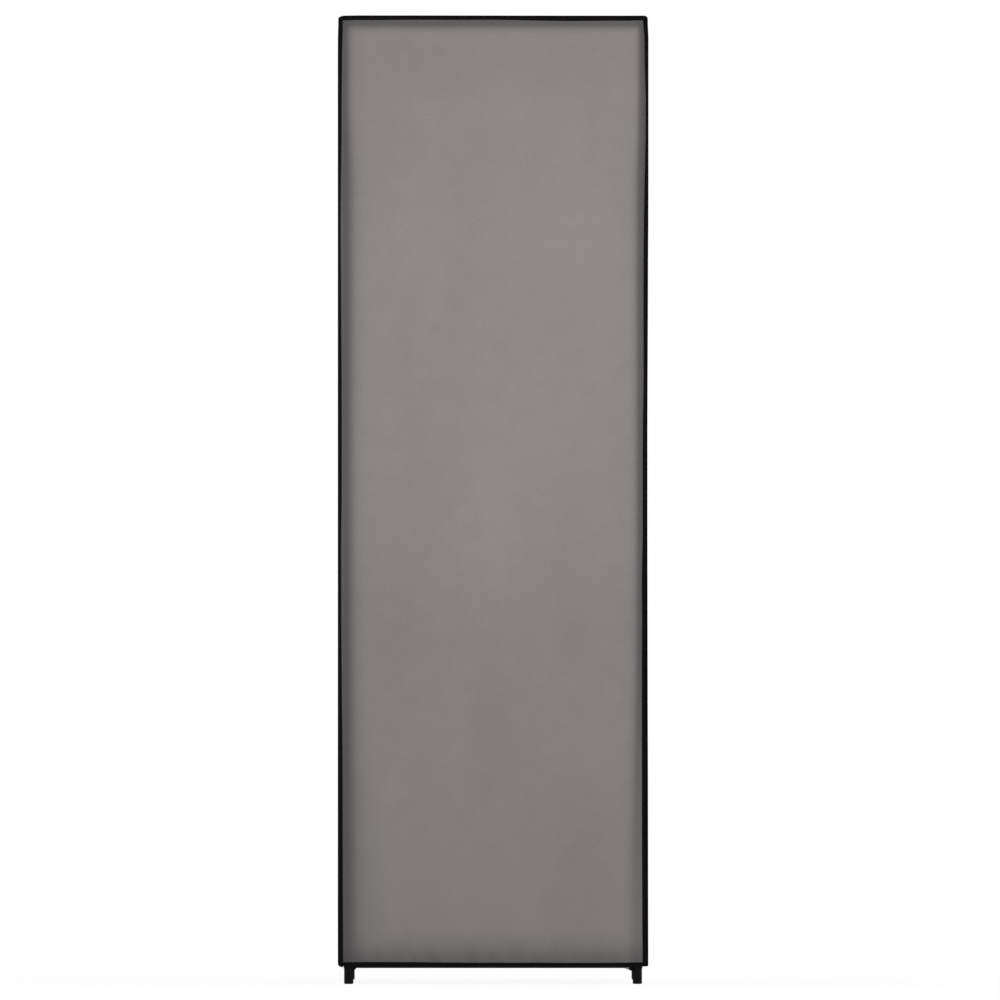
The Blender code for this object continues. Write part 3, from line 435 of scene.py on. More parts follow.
def stitch_line(path, ups):
    """Stitches a pitch apart along a path of points, standing up as ups says at each point. A stitch is a
    spindle whose radius falls off as sqrt(1 - t^4), bowed away from the cloth by 1 - t^2."""
    reach = np.concatenate([[0], np.cumsum(np.linalg.norm(np.diff(path, axis=0), axis=1))])
    count = max(1, int(reach[-1] / STITCH_PITCH))
    middle = (np.arange(count) + 0.5) * reach[-1] / count

    def at(where, table):
        return stacked(*(np.interp(where, reach, column) for column in table.T))

    run = at(middle + STITCH_LENGTH / 3, path) - at(middle - STITCH_LENGTH / 3, path)
    run /= np.linalg.norm(run, axis=1)[:, None]
    up = at(middle, ups)
    up -= run * np.einsum("ij,ij->i", up, run)[:, None]
    up /= np.linalg.norm(up, axis=1)[:, None]
    t = np.array([-0.72, 0.0, 0.72])[:, None]
    turn = np.arange(5) * math.tau / 5
    wide, half = STITCH_RADIUS * np.sqrt(1 - t ** 4), STITCH_LENGTH / 2
    rings = stacked(t * half, wide * np.cos(turn), wide * np.sin(turn) + STITCH_RADIUS * 0.7 * (1 - t * t))
    low = -STITCH_RADIUS * 0.6
    return copies(*capped(rings, [-half, 0, low], [half, 0, low]), at(middle, path),
                  np.stack([run, np.cross(up, run), up], axis=1))


def sewn(name, lines, finish=black_thread, body=ROOT):
    """One piece of all these stitch lines, each a path and its ups."""
    points, faces = joined([stitch_line(path, np.broadcast_to(ups, path.shape)) for path, ups in lines])
    return piece(name, points, finish, faces, body)


def front_line(x, out, z):
    """A stitch line on a face of the front that stands this far out of the cover's plane."""
    return stacked(x, -CLOTH_Y - out - STITCH_PROUD, z), FORWARDS


# Seams

# The three seams round the left side: a place in metres, up or backwards, and there in millimetres how
# much further out than elsewhere the fold stands and how far out past the corner the tape's edge lies
COURSES = {
    "front_left": (
        (0.05, 0.5, -1.5), (0.09, 0.4, -2.1), (0.20, 0.2, -2.5), (0.34, 0.0, -2.7), (0.47, -0.4, -2.9),
        (0.60, -0.7, -2.5), (0.67, -0.8, -3.0), (0.74, -0.9, -1.5), (0.87, -0.9, -1.4), (0.93, -0.9, -0.9),
        (1.00, -0.6, 0.1), (1.13, 0.0, 0.0), (1.20, 0.2, 0.2), (1.26, 0.6, 0.7), (1.33, 0.8, 1.9),
        (1.39, 0.8, 3.3), (1.46, 0.8, 3.8), (1.53, 0.8, 1.8), (1.58, 0.8, 1.5),
    ),
    "back_left": (
        (0.05, 0.4, -1.0), (0.14, 0.5, -0.6), (0.34, 0.5, -0.3), (0.40, 0.5, 0.1), (0.47, 0.5, 0.9),
        (0.60, 0.5, 2.0), (0.73, 0.5, 2.4), (0.80, 0.5, 1.3), (0.93, 0.5, 1.2), (1.00, 0.5, 1.4),
        (1.13, 0.5, 2.3), (1.26, 0.5, 3.1), (1.33, 0.5, 2.6), (1.39, 0.5, 1.5), (1.46, 0.5, 1.4),
        (1.53, 0.5, 0.7), (1.58, 0.3, -0.5),
    ),
    "top_left": (
        (-0.24, -0.4, -1.7), (-0.20, -0.4, -1.3), (-0.16, -0.4, -1.7), (-0.12, -0.4, -2.0),
        (-0.08, -0.3, -1.3), (-0.04, -0.3, -0.4), (0.00, -0.2, 0.2), (0.08, -0.1, 0.0), (0.12, 0.0, 0.3),
        (0.20, 0.0, -0.4), (0.24, 0.1, 0.0),
    ),
}
# How low the upright seams reach
LOW_END = {"front": 0.0290, "back": 0.0279}
# How the cover's corners are rounded as the left side shows them: front (-1) or back (1), top (1) or foot
# (-1), the corner's height, the depth and height of its rounding, and the power of its curve, where 2 is
# an ellipse and 1 a straight cut
CORNER_ROUNDS = (
    (-1, 1, HEIGHT, 0.0064, 0.0064, 2.0), (-1, -1, LOW_END["front"], 0.0026, 0.0026, 2.0),
    (1, 1, HEIGHT, 0.0100, 0.0041, 1.35), (1, -1, LOW_END["back"], 0.0064, 0.0064, 2.0),
)
# Where the cloth's turned-out edge has its rows, along the seam's own plane, and how far from that plane
FLANGE = np.array([0.0017, 0.0048, 0.0075])
CLOTH_ASIDE = BEND / ROOT_TWO


def soft_corners(points):
    """Rounds the cover's corners as seen from the side. Inside each corner's rectangle a point is drawn
    towards the rectangle's inner corner by (1 - m / e) m^2, where m is its larger share of the sides and
    e the power mean's share, so that the square edge lands on the curve and the inner corner stays."""
    points = points.copy()
    for sign, up, edge, depth, height, power in CORNER_ROUNDS:
        aside = np.maximum(sign * points[..., 1] - (HALF_Y - depth), 0) / depth
        rise = np.maximum(up * (points[..., 2] - edge) + height, 0) / height
        large = np.maximum(np.maximum(aside, rise), 1e-9)
        mean = np.maximum((aside ** power + rise ** power) ** (1 / power), 1e-9)
        drawn = np.where((aside > 0) & (rise > 0), (1 - large / mean) * np.minimum(large, 1.1) ** 2, 0)
        points[..., 1] -= sign * aside * depth * drawn
        points[..., 2] -= up * rise * height * drawn
    return points


class Seam:
    """A bound seam that stands out at 45 degrees between two panels. first and second point out of the
    panels' faces. s is a distance from its start, along one out in the seam's plane and aside one from
    that plane towards the first panel's face, so that a point is (along + aside) / sqrt 2 out of the
    first face and (along - aside) / sqrt 2 out of the second."""

    def __init__(self, start, end, first, second, seed, low_mitre=True, course=None):
        self.start, end, self.first, self.second = (np.asarray(v, float) for v in (start, end, first, second))
        self.length = np.linalg.norm(end - self.start)
        self.run = (end - self.start) / self.length
        self.seed, self.low_mitre = seed, low_mitre
        self.course = None if course is None else np.array(course)
        if course is not None:
            # A run forwards or down turns the course's places round
            self.course[:, 0] = (self.course[:, 0] - self.start @ np.abs(self.run)) * self.run.sum()

    def distance(self, points):
        return (points - self.start) @ self.run

    def fade(self, s):
        """1 along the seam, falling to 0 at its mitred ends."""
        low = blend_to(s, 0.004, 0.030) if self.low_mitre else 1.0
        return low * blend_to(self.length - s, 0.004, 0.030)

    def reach(self, s):
        """How much further out than its mean the fold stands at s."""
        if self.course is None:
            shift = 0.00035 * ripples(s, 0, 0.26, self.seed) - 0.0001
        else:
            shift = (np.interp(s, self.course[:, 0], self.course[:, 1]) + 0.3) * MM * ROOT_TWO / 1.1
        return self.fade(s) * shift

    def lean(self, s):
        """How far the fold leans to the first side."""
        size = 0.0003 if self.course is None else 0.0
        return self.fade(s) * size * ripples(s, 0, 0.19, self.seed + 7)

    def edge(self, s, side):
        """How far up the seam's plane the tape's edge lies on the first (1) or second (-1) panel's side,
        negative where it lies on the panel's face."""
        if self.course is not None and side > 0:
            past = np.interp(s, self.course[:, 0], self.course[:, 2]) * MM
        else:
            past = -0.0006 + 0.0009 * ripples(s, 0, 0.30, self.seed + 11 + side)
        laid = SEAM_START + past + 0.0006
        standing = (past * ROOT_TWO + 0.00135) / (1 + self.reach(s) / FOLD_CENTRE)
        up = np.where(past > -0.0006, standing, laid)
        return SEAM_START + self.fade(s) * (np.minimum(up, FOLD_CENTRE - 0.0012) - SEAM_START)

    def place(self, s, along, aside):
        """The points of (along, aside) at s, with the fold's reach and lean there worked in."""
        share = along / FOLD_CENTRE
        along = along + self.reach(s) * share
        aside = aside + self.lean(s) * np.maximum(share, 0) ** 2
        return (
            self.start + s[..., None] * self.run
            + ((along + aside) / ROOT_TWO)[..., None] * self.first
            + ((along - aside) / ROOT_TWO)[..., None] * self.second
        )

    def flange(self, s, side):
        """Where the turned-out edge of the panel on this side lies at s: how far past the panel's edge and
        how far out of its face, for each row of FLANGE."""
        share = FLANGE / FOLD_CENTRE
        along = FLANGE + np.multiply.outer(self.reach(s), share)
        aside = CLOTH_ASIDE + side * np.multiply.outer(self.lean(s), share ** 2)
        return (along - aside) / ROOT_TWO, (along + aside) / ROOT_TWO


def all_seams():
    """The four upright seams and the four round the top, by name."""
    made = {}
    for place, y_sign in ENDS:
        y = y_sign * CLOTH_Y
        for side, x_sign in SIDES:
            x, name = x_sign * CLOTH_X, f"{place}_{side}"
            made[name] = Seam(
                (x, y, LOW_END[place]), (x, y, CLOTH_Z), (x_sign, 0, 0), (0, y_sign, 0),
                110 + 10 * x_sign + 20 * y_sign, low_mitre=False, course=COURSES.get(name))
        made[f"top_{place}"] = Seam(
            (-CLOTH_X, y, CLOTH_Z), (CLOTH_X, y, CLOTH_Z), (0, y_sign, 0), UP, 210 + 10 * y_sign)
    for side, x_sign in SIDES:
        x, name = x_sign * CLOTH_X, f"top_{side}"
        made[name] = Seam((x, -CLOTH_Y, CLOTH_Z), (x, CLOTH_Y, CLOTH_Z), (x_sign, 0, 0), UP,
                          310 + 10 * x_sign, course=COURSES.get(name))
    return made


SEAMS = all_seams()


# Cover panels


def panel_point(panel, a, b, out):
    """Places (sideways, up, out) coordinates with the panel's origin and three directions."""
    origin, *directions = (np.asarray(v, float) for v in panel)
    return origin + sum(np.multiply.outer(part, way) for part, way in zip((a, b, out), directions))


def panel_grid(panel, a_inner, b_inner, bound):
    """The grid of a panel whose edges are turned out into its seams: sideways, up and out at each point.
    bound gives the seam and the panel's side of it for the edges (low a, high a, low b, high b), or None
    for an edge that isn't in a seam. Where two turned edges meet, the one that stands out further holds."""
    nominal = (FLANGE - CLOTH_ASIDE) / ROOT_TWO + BEND

    def lines(inner, low, high):
        return np.concatenate([
            inner[0] - nominal[::-1] if low else [], inner, inner[-1] + nominal if high else []])

    a0, b0 = lines(a_inner, *bound[:2]), lines(b_inner, *bound[2:])
    b, a = np.meshgrid(b0, a0, indexing="ij")
    out = np.zeros(a.shape)
    for edge, held in enumerate(bound):
        if held is None:
            continue
        seam, side = held
        upright, (sign, end, rows) = edge < 2, ((-1, 0, np.s_[:, 2::-1]), (1, -1, np.s_[:, -3:]))[edge % 2]
        corner = (a_inner if upright else b_inner)[end] + sign * BEND
        line = (corner, b0, 0.0) if upright else (a0, corner, 0.0)
        past, rise = seam.flange(seam.distance(panel_point(panel, *line)), side)
        spread, stands = (a, out) if upright else (b.T, out.T)
        spread[rows] = corner + sign * past
        stands[rows] = np.maximum(stands[rows], rise)
    return a, b, out


def slack(a, b, half, low, high, seed):
    """How far the cloth stands out from its plane between the seams: broad sags, narrower upright ones and
    soft crumpling, all of which fade to nothing at the tubes."""
    edge = np.minimum(half - np.abs(a), np.minimum(b - low, high - b))
    broad = 0.0013 * ripples(a, b, 0.34, seed, stretch=1.6) - 0.0010
    upright = 0.00060 * ripples(a, b, 0.085, seed + 1, stretch=4.0)
    crumple = 0.00016 * ripples(a, b, 0.030, seed + 2)
    return blend_to(edge, 0.014, 0.085) * (broad + upright) + blend_to(edge, 0.004, 0.030) * crumple


def tube_shadow(distance, lead, width, depth):
    """How much painted shadow a tube gives the cloth, for the tube showing through it, at this distance from
    its outer side: all of it up to lead, and then a bell curve of this width."""
    return depth * bell(np.maximum(np.abs(distance) - lead, 0), width)


def over(*shadows):
    """Shadows that lie over each other: 1 less the product of what each lets through."""
    return 1 - math.prod(1 - shadow for shadow in shadows)


def shading(a, b, half, streak, edges, rails=()):
    """The cloth's tone and the painted shadow of the tubes through it at each point of an upright panel. The
    tone darkens below the shelf and towards the top, partly as painted shade, and holds a paler streak,
    strongest just over the shelf where its sides are duller, and a dull patch low down. edges gives each
    upright tube's lead, width, depth and tail halfway up, and the same near the floor; the painted shadow
    narrows near the top, where the cloth is taut over the corner. Shadows that meet in a corner add up as
    sqrt(s1^2 + s2^2)."""
    sinking = blend_to(-b, -0.60, -0.10)
    shadows = []
    for sign, (above, below) in zip((-1, 1), edges):
        lead, width, depth, tail = (high + (low - high) * sinking for high, low in zip(above, below))
        near = np.maximum(half - sign * a, 0)
        narrowed = near * (1 + 0.45 * blend_to(b, 1.30, 1.50))
        spread = tail * bell(near, 0.030 + 0.020 * sinking)
        shadows.append(over(tube_shadow(narrowed, lead, width, depth), spread))
    top_rail = tube_shadow(np.maximum(CLOTH_Z - b, 0), 0.0065, 0.0085, 0.58)
    upright = np.minimum(np.hypot(np.maximum(*shadows), top_rail), 0.66)
    # Painted shade along the foot, where the cloth lies on the bottom rail, and the painted shadow of any rail
    # across the panel
    foot = np.maximum(b - HEM_TOP, 0)
    low = over(0.46 * bell(foot, 0.0255) * (1 + 0.08 * ripples(a, b, 0.04, 73)), 0.035 * bell(foot, 0.060))
    shadow = over(upright * (1 - 0.5 * low), low, *(
        tube_shadow(b - height, 0.0015, 0.0085, depth) for height, depth in rails))
    # The tone's darkening below the shelf and towards the top is partly painted shade
    tone = 1 - 0.100 * blend_to(-b, -0.76, -0.56) - 0.018 * blend_to(-b, -0.42, -0.22)
    tone = tone - 0.030 * blend_to(b, 1.20, 1.40) - 0.060 * blend_to(b, 1.44, 1.53)
    tone = tone + 0.012 * bell(a - streak, 0.075) * blend_to(b, 0.55, 0.75)
    beside = 1 - bell(a + 0.005, 0.070)
    tone = tone + (0.022 - 0.066 * beside) * bell(b - 0.72, 0.15) * bell(a, 0.40)
    tone = tone - 0.046 * bell(a - 0.150, 0.055) * bell(b - 0.25, 0.13)
    return tone + 0.012 * ripples(a, b, 0.16, 71, stretch=2.2), shadow


def cloth_piece(name, node, panel, grid, tone, shadow, faces=None):
    """A panel's cloth from its grid, or from some of the grid's faces, with the cover's corners rounded."""
    a, b, out = grid
    used, faces = np.unique(grid_quads(*a.shape) if faces is None else faces, return_inverse=True)
    points, uv, tone, shadow = (
        values.reshape(a.size, -1)[used]
        for values in (soft_corners(panel_point(panel, a, b, out)), stacked(a, b), tone, shadow))
    return piece(name, points, cover_cloth, faces.reshape(-1, 4), uv=uv,
                 values={"tone": tone, "tube_shadow": shadow}, outwards=panel[3], thickness=CLOTH, node=node)


# The upright tubes' painted shadow through the cloth: lead, width, depth and tail halfway up, and the same near
# the floor, for each side
PLAIN_EDGES = (((0.0058, 0.0100, 0.62, 0.07), (0.0070, 0.0120, 0.48, 0.12)),) * 2
LEFT_SIDE_EDGES = (
    ((0.0055, 0.0125, 0.62, 0.09), (0.0055, 0.0170, 0.58, 0.24)),
    ((0.0055, 0.0080, 0.61, 0.04), (0.0125, 0.0110, 0.27, 0.02)),
)
# The shelf rail's painted shadow through the cloth: its height and depth
SHELF_SHADOW = ((SHELF_RAIL, 0.28),)


def upright_panel(name, origin, sideways, outwards, half, seams, side, seed, streak, edges, rails=()):
    """A side or the back: its grid, with the slack between its seams and its lower edge in the hem. seams
    names those at its low and high edge and at its top."""
    panel = (origin, sideways, UP, outwards)
    low, high, top_seam = (SEAMS[seam] for seam in seams)
    a, b, out = panel_grid(
        panel, fine_at_ends(-half + BEND, half - BEND, 0.0075, 0.0028, 0.045),
        fine_at_ends(HEM_EDGE, CLOTH_Z - BEND, 0.0080, 0.0030, 0.060),
        ((low, side), (high, side), None, (top_seam, 1)))
    out = out + np.where(out > 0, 0, slack(a, b, half, HEM_TOP, CLOTH_Z, seed))
    return cloth_piece(f"{name}_cloth", f"cover_{name}", panel, (a, b, out),
                       *shading(a, b, half, streak, edges, rails))


left_side = upright_panel(
    "left_side", (-CLOTH_X, 0, 0), (0, -1, 0), (-1, 0, 0), CLOTH_Y, ("back_left", "front_left", "top_left"),
    1, 3, 0.035, LEFT_SIDE_EDGES)
right_side = upright_panel(
    "right_side", (CLOTH_X, 0, 0), (0, 1, 0), (1, 0, 0), CLOTH_Y, ("front_right", "back_right", "top_right"),
    1, 17, -0.04, PLAIN_EDGES)
back = upright_panel(
    "back", (0, CLOTH_Y, 0), (-1, 0, 0), (0, 1, 0), CLOTH_X, ("back_right", "back_left", "top_back"),
    -1, 29, 0.08, PLAIN_EDGES, SHELF_SHADOW)


def top_panel():
    """The top: flat, with its four edges turned up into the seams, and a slow sag between the rails."""
    panel = ((0, 0, CLOTH_Z), (1, 0, 0), (0, 1, 0), UP)
    a, b, out = panel_grid(
        panel, *(fine_at_ends(-half + BEND, half - BEND, 0.010, 0.003, 0.045) for half in (CLOTH_X, CLOTH_Y)),
        [(SEAMS[f"top_{place}"], -1) for place in ("left", "right", "front", "back")])
    edge = np.minimum(CLOTH_X - np.abs(a), CLOTH_Y - np.abs(b))
    sag = -0.0075 * blend_to(edge, 0.012, 0.20)
    soft = blend_to(edge, 0.014, 0.07) * (
        0.0010 * ripples(a, b, 0.22, 41) + 0.0003 * ripples(a, b, 0.05, 42))
    out = out + np.where(out > 0, 0, sag + soft)
    # The rails round the top give it a painted shadow at its edges
    return cloth_piece("top_cloth", "cover_top", panel, (a, b, out), 1 + 0.012 * ripples(a, b, 0.15, 43),
                       tube_shadow(np.maximum(edge, 0), 0.0060, 0.0090, 0.58))


top = top_panel()


def front_surround():
    """The two legs and the strip between them over the doorway: the parts of one upright grid that the
    doorway leaves, with the seams where the strip is sewn to the legs."""
    panel = ((0, -CLOTH_Y, 0), (1, 0, 0), UP, FORWARDS)
    leg = fine_at_ends(OPENING_X, CLOTH_X - BEND, 0.0030, 0.0028, 0.012)
    a, b, out = panel_grid(
        panel, np.concatenate([-leg[::-1], between(-OPENING_X, OPENING_X, 0.0090)[1:-1], leg]),
        np.concatenate([
            fine_at_ends(HEM_EDGE, OPENING_TOP, 0.0080, 0.0030, 0.045),
            fine_at_ends(OPENING_TOP, CLOTH_Z - BEND, 0.0030, 0.0028, 0.030)[1:]]),
        ((SEAMS["front_left"], -1), (SEAMS["front_right"], -1), None, (SEAMS["top_front"], 1)))
    edge = np.minimum(CLOTH_X - np.abs(a), np.minimum(CLOTH_Z - b, b - HEM_TOP))
    inside = np.maximum(OPENING_X - np.abs(a) + 0.006, 0)
    header = blend_to(b, OPENING_TOP + 0.016, OPENING_TOP + 0.05)
    free = blend_to(edge, 0.012, 0.030) * (0.35 + 0.65 * header * blend_to(inside, 0.0, 0.05))
    soft = free * (0.00045 * ripples(a, b, 0.09, 51) - 0.0004 + 0.00012 * ripples(a, b, 0.03, 52))
    sewn_flat = (out > 0) | ((np.abs(a) < OPENING_X + 0.013) & (b < CURTAIN_TOP + 0.002))
    out = out + np.where(sewn_flat, 0, soft)
    # Painted shadow of the tubes and the shelf rail, and the tone's painted shade, as on the sides
    looks = shading(a, b, CLOTH_X, 0.0, PLAIN_EDGES, SHELF_SHADOW)
    quads = grid_quads(*a.shape)
    middle_a, middle_b = (part.ravel()[quads].mean(axis=1) for part in (a, b))
    return [
        cloth_piece(name, "cover_front_surround", panel, (a, b, out), *looks, quads[here])
        for name, here in (
            ("front_leg_cloth_left", middle_a < -OPENING_X),
            ("front_leg_cloth_right", middle_a > OPENING_X),
            ("front_header_cloth", (np.abs(middle_a) < OPENING_X) & (middle_b > OPENING_TOP)),
        )
    ]


front_left_leg, front_right_leg, front_header = front_surround()

# The grey stitches beside the two joins between the header and the legs
header_join = between(CURTAIN_TOP + 0.004, CLOTH_Z - 0.010, 0.004)
sewn("header_seam_stitches", [front_line(sign * (OPENING_X + 0.0030), 0.0, header_join) for sign in (-1, 1)],
     grey_thread)


# Seam tapes


def arm(up):
    """A tape arm's middle line at a distance up the seam's plane, as (along, aside). Where the tape's edge
    lies on the panel's face, the arm leaves the seam at the corner and settles on the face, falling off
    as exp(-t / 0.7 mm)."""
    laid = 0.00035
    back_by = np.maximum(SEAM_START - up, 0)
    out = laid + ((SEAM_START + FOLD_RADIUS) / ROOT_TWO - laid) * np.exp(-back_by / 0.0007)
    past = (SEAM_START - FOLD_RADIUS) / ROOT_TWO - back_by
    on_face = back_by > 0
    return (np.where(on_face, (out + past) / ROOT_TWO, up),
            np.where(on_face, (out - past) / ROOT_TWO, FOLD_RADIUS))


ARM_SHARES = np.array([0.0, 0.10, 0.20, 0.32, 0.45, 0.62, 0.82])
# How far from the tape's edge it is stitched, and over how long an end it is mitred
SEWN_IN = 0.0022
MITRE = 0.012


def tape_sheet(seam):
    """A tape's middle sheet along its seam: an arm up one panel's edge, a half circle round both edges and
    an arm down the other's, each arm bulging by sin(pi share)^2 and dimpled where it is stitched. A mitred
    end is drawn on past the corner by up to (along - |aside|) / sqrt 2, where it meets the two other
    tapes. Returns the sheet's points, faces, map and crown, which places the tape's painted highlight and shade."""
    s = fine_at_ends(0, seam.length, 0.0060, 0.0012, MITRE)
    turn = np.linspace(math.pi / 2, -math.pi / 2, 9)
    around = np.ones((len(s), 1))
    along, aside = [around * (FOLD_CENTRE + FOLD_RADIUS * np.cos(turn))], [around * FOLD_RADIUS * np.sin(turn)]
    for side, place, order in ((1, 0, 1), (-1, 2, -1)):
        edge = seam.edge(s, side)[:, None]
        up = edge + ARM_SHARES * (FOLD_CENTRE - edge)
        arm_along, arm_aside = arm(up)
        crown = 0.00028 * np.sin(math.pi * ARM_SHARES) ** 2
        dimple = 0.00020 * bell(up - edge - SEWN_IN, 0.0008)
        along.insert(place, arm_along[:, ::order])
        aside.insert(place, side * (arm_aside + crown - dimple)[:, ::order])
    along, aside = np.hstack(along), np.hstack(aside)
    past = (along - np.abs(aside)) / ROOT_TWO
    further = np.clip(1 - (seam.length - s) / MITRE, 0, 1) - seam.low_mitre * np.clip(1 - s / MITRE, 0, 1)
    points = seam.place(s[:, None] + 0 * along, along, aside)
    points += (further[:, None] * past)[..., None] * seam.run
    step = np.hypot(np.diff(along, axis=1), np.diff(aside, axis=1))
    across = np.hstack([0 * around, np.cumsum(step, axis=1)])
    share = np.minimum(across, across[:, -1:] - across) / (across[:, -1:] / 2)
    points = soft_corners(points).reshape(-1, 3)
    return (points, turned_out(points, grid_quads(*across.shape), seam.first + seam.second),
            stacked(s[:, None], across).reshape(-1, 2), np.sin(math.pi * share).ravel())


def seam_stitches(seam):
    """The two stitch lines along a tape, one on each arm, each with its upward directions."""
    s = between(0.007, seam.length - 0.006, 0.006)
    for side, face in ((1, seam.first), (-1, seam.second)):
        up = np.minimum(seam.edge(s, side) + SEWN_IN, FOLD_CENTRE)
        along, aside = arm(up)
        on_face = up < SEAM_START
        along = along + np.where(on_face, 0.00018, 0)
        aside = aside + np.where(on_face, 0.00018, 0.00026)
        away = side * (seam.first - seam.second) / ROOT_TWO
        yield soft_corners(seam.place(s, along, side * aside)), np.where(on_face[:, None], face, away)


def seam_binding():
    """The tapes of all eight seams as one sheet, joined where three of them meet, and their stitches."""
    # The crown share places the seam tape's painted highlight and shade
    points, faces, uv, crown = joined([tape_sheet(seam) for seam in SEAMS.values()])
    made = piece("seam_tape", points, seam_weave, faces=faces, uv=uv, values={"crown": crown}, outwards=UP)
    with edited(made.data) as work:
        bmesh.ops.remove_doubles(work, verts=work.verts, dist=2e-5)
    thicken(made, TAPE, 0.0, even=False)
    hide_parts("seam_binding")
    return made, sewn("seam_stitches", [line for seam in SEAMS.values() for line in seam_stitches(seam)])


seam_tape, seam_sewing = seam_binding()


def hem_tape(name, start, end, outwards, middle, height, body=ROOT, seed=1, top=None, node=None):
    """A tape folded up round a cloth's lower edge from start to end: an outer arm, a half circle under the
    cloth and an inner arm, waving a little in height. Returns the piece and its outer stitch line."""
    start, end = np.array([*start, HEM_EDGE]), np.array([*end, HEM_EDGE])
    outwards = np.asarray(outwards, float)
    length = np.linalg.norm(end - start)
    run = (end - start) / length
    s = between(0, length, 0.0024)
    radius = 0.00075
    turn = np.linspace(0, math.pi, 9)
    rise = height - (HEM_EDGE - HEM_BOTTOM)
    shares = np.array([1.0, 0.8, 0.6, 0.45, 0.25])
    sewn_at = 0.6 * rise
    depth = np.concatenate([np.full(5, radius), radius * np.cos(turn), np.full(5, -radius)])
    lift = np.concatenate([rise * shares, -radius * np.sin(turn), rise * shares[::-1]])
    wave = 0.00025 * ripples(s, 0, 0.08, seed)
    if top is not None:
        wave = wave * 0.3 + np.interp(s, *np.array(top).T)
    lift = lift + np.multiply.outer(wave, np.clip(lift / rise, 0, 1) ** 2)
    dimple = bell(lift - sewn_at, 0.0007) * (0.00012 + 0.00005 * np.cos(math.tau * s / STITCH_PITCH))[:, None]
    depth = depth - np.sign(depth) * dimple
    points = start + s[:, None, None] * run + (middle + depth)[..., None] * outwards + lift[..., None] * UP
    across = np.concatenate([[0], np.cumsum(np.hypot(np.diff(depth[0]), np.diff(lift[0])))])
    made = piece(name, points, binding_tape, body=body, uv=stacked(s[:, None], across),
                 outwards=-UP, thickness=TAPE, offset=0.0, node=node)
    path = start + s[:, None] * run + (middle + radius + 0.00012) * outwards + sewn_at * UP
    return made, (path, outwards)


# How much higher than its mean the hem tape's upper edge lies along the left side, from the back
LEFT_HEM_COURSE = (
    (0.00, 0.0005), (0.05, 0.0005), (0.13, 0.0003), (0.17, -0.0003), (0.21, -0.0005), (0.33, -0.0005),
    (0.37, -0.0009), (0.41, -0.0009), (0.45, -0.0005), (0.50, 0.0002),
)


def hem_bindings():
    """The tape round the cover's lower edge, in five lengths, with its stitches."""
    inset = 0.0012
    x, y, x_end, y_end, leg = CLOTH_X, CLOTH_Y, CLOTH_X - inset, CLOTH_Y - inset, ZIP_X + 0.0173
    tapes, lines = zip(*(
        hem_tape(f"hem_binding_{name}", start, end, outwards, -CLOTH / 2, HEM_TAPE_HEIGHT, seed=400 + number,
                 top=top, node=node)
        for number, (name, start, end, outwards, top, node) in enumerate((
            ("left", (-x, y_end), (-x, -y_end), (-1, 0, 0), LEFT_HEM_COURSE, "hem_binding"),
            ("right", (x, -y_end), (x, y_end), (1, 0, 0), None, None),
            ("back", (x_end, y), (-x_end, y), (0, 1, 0), None, None),
            ("leg_left", (-x_end, -y), (-leg, -y), (0, -1, 0), None, None),
            ("leg_right", (leg, -y), (x_end, -y), (0, -1, 0), None, None),
        ))))
    return tapes, sewn("hem_stitches", lines)


hem_tapes, hem_stitches = hem_bindings()


# Curtain


def curtain_depth(x, z):
    """How far the curtain hangs in from its plane: upright folds, each (1 + cos) / 2 to the power 1.8, whose
    spacing wanders and which drift sideways on the way down, and long low swells across, all held flat at
    the zips, the header, the hem and the rail behind."""
    near_zip = blend_to(0.294 - np.abs(x), 0.0, 0.045)
    ends = blend_to(OPENING_TOP - z, 0.004, 0.14) * blend_to(z - HEM_HOLDS, 0.0, 0.07)
    clear = 0.20 + 0.80 * blend_to(np.abs(z - SHELF_RAIL), 0.012, 0.060)
    drift = x + 0.016 * np.sin(2.3 * z + 0.6) + 0.004 * np.sin(7.1 * z + 2.0)
    wander = 1.5 * np.sin(math.tau * drift / 0.41 + 1.1 * z) + 0.35 * ripples(x, z, 0.30, 64, stretch=3.0)
    ridge = (0.5 + 0.5 * np.cos(math.tau * drift / 0.096 + wander)) ** 1.8
    folds = 0.0056 * ridge * np.clip(0.70 + 0.34 * ripples(x, z, 0.45, 61, stretch=1.6), 0.2, 1.1)
    swells = 0.0016 * (1 + np.sin(math.tau * z / 0.17 + 1.6 * ripples(x, z, 0.55, 62, stretch=3.0)))
    crumple = 0.00016 * ripples(x, z, 0.045, 63, stretch=3.0)
    return near_zip * ends * clear * np.clip(folds + swells + crumple, -0.0004, 0.0080)


def curtain_cloth():
    """The curtain's sheet, from the hem to the header."""
    z, x = np.meshgrid(
        np.concatenate([between(HEM_EDGE, OPENING_TOP, 0.0062), [OPENING_TOP + 0.004, CURTAIN_TOP - 0.001]]),
        fine_at_ends(-CURTAIN_HALF, CURTAIN_HALF, 0.0065, 0.0035, 0.04), indexing="ij")
    # The uprights' painted shadow falls on the legs beside the doorway, so the uprights are put far away here
    tone, shadow = shading(x, z, 9.0, 0.1, PLAIN_EDGES, SHELF_SHADOW)
    return piece("curtain_cloth", stacked(x, curtain_depth(x, z) - CLOTH_Y - CURTAIN_OUT, z), cover_cloth,
                 uv=stacked(x, z), values={"tone": tone, "tube_shadow": shadow},
                 outwards=FORWARDS, thickness=CLOTH, node="door_curtain")


curtain = curtain_cloth()


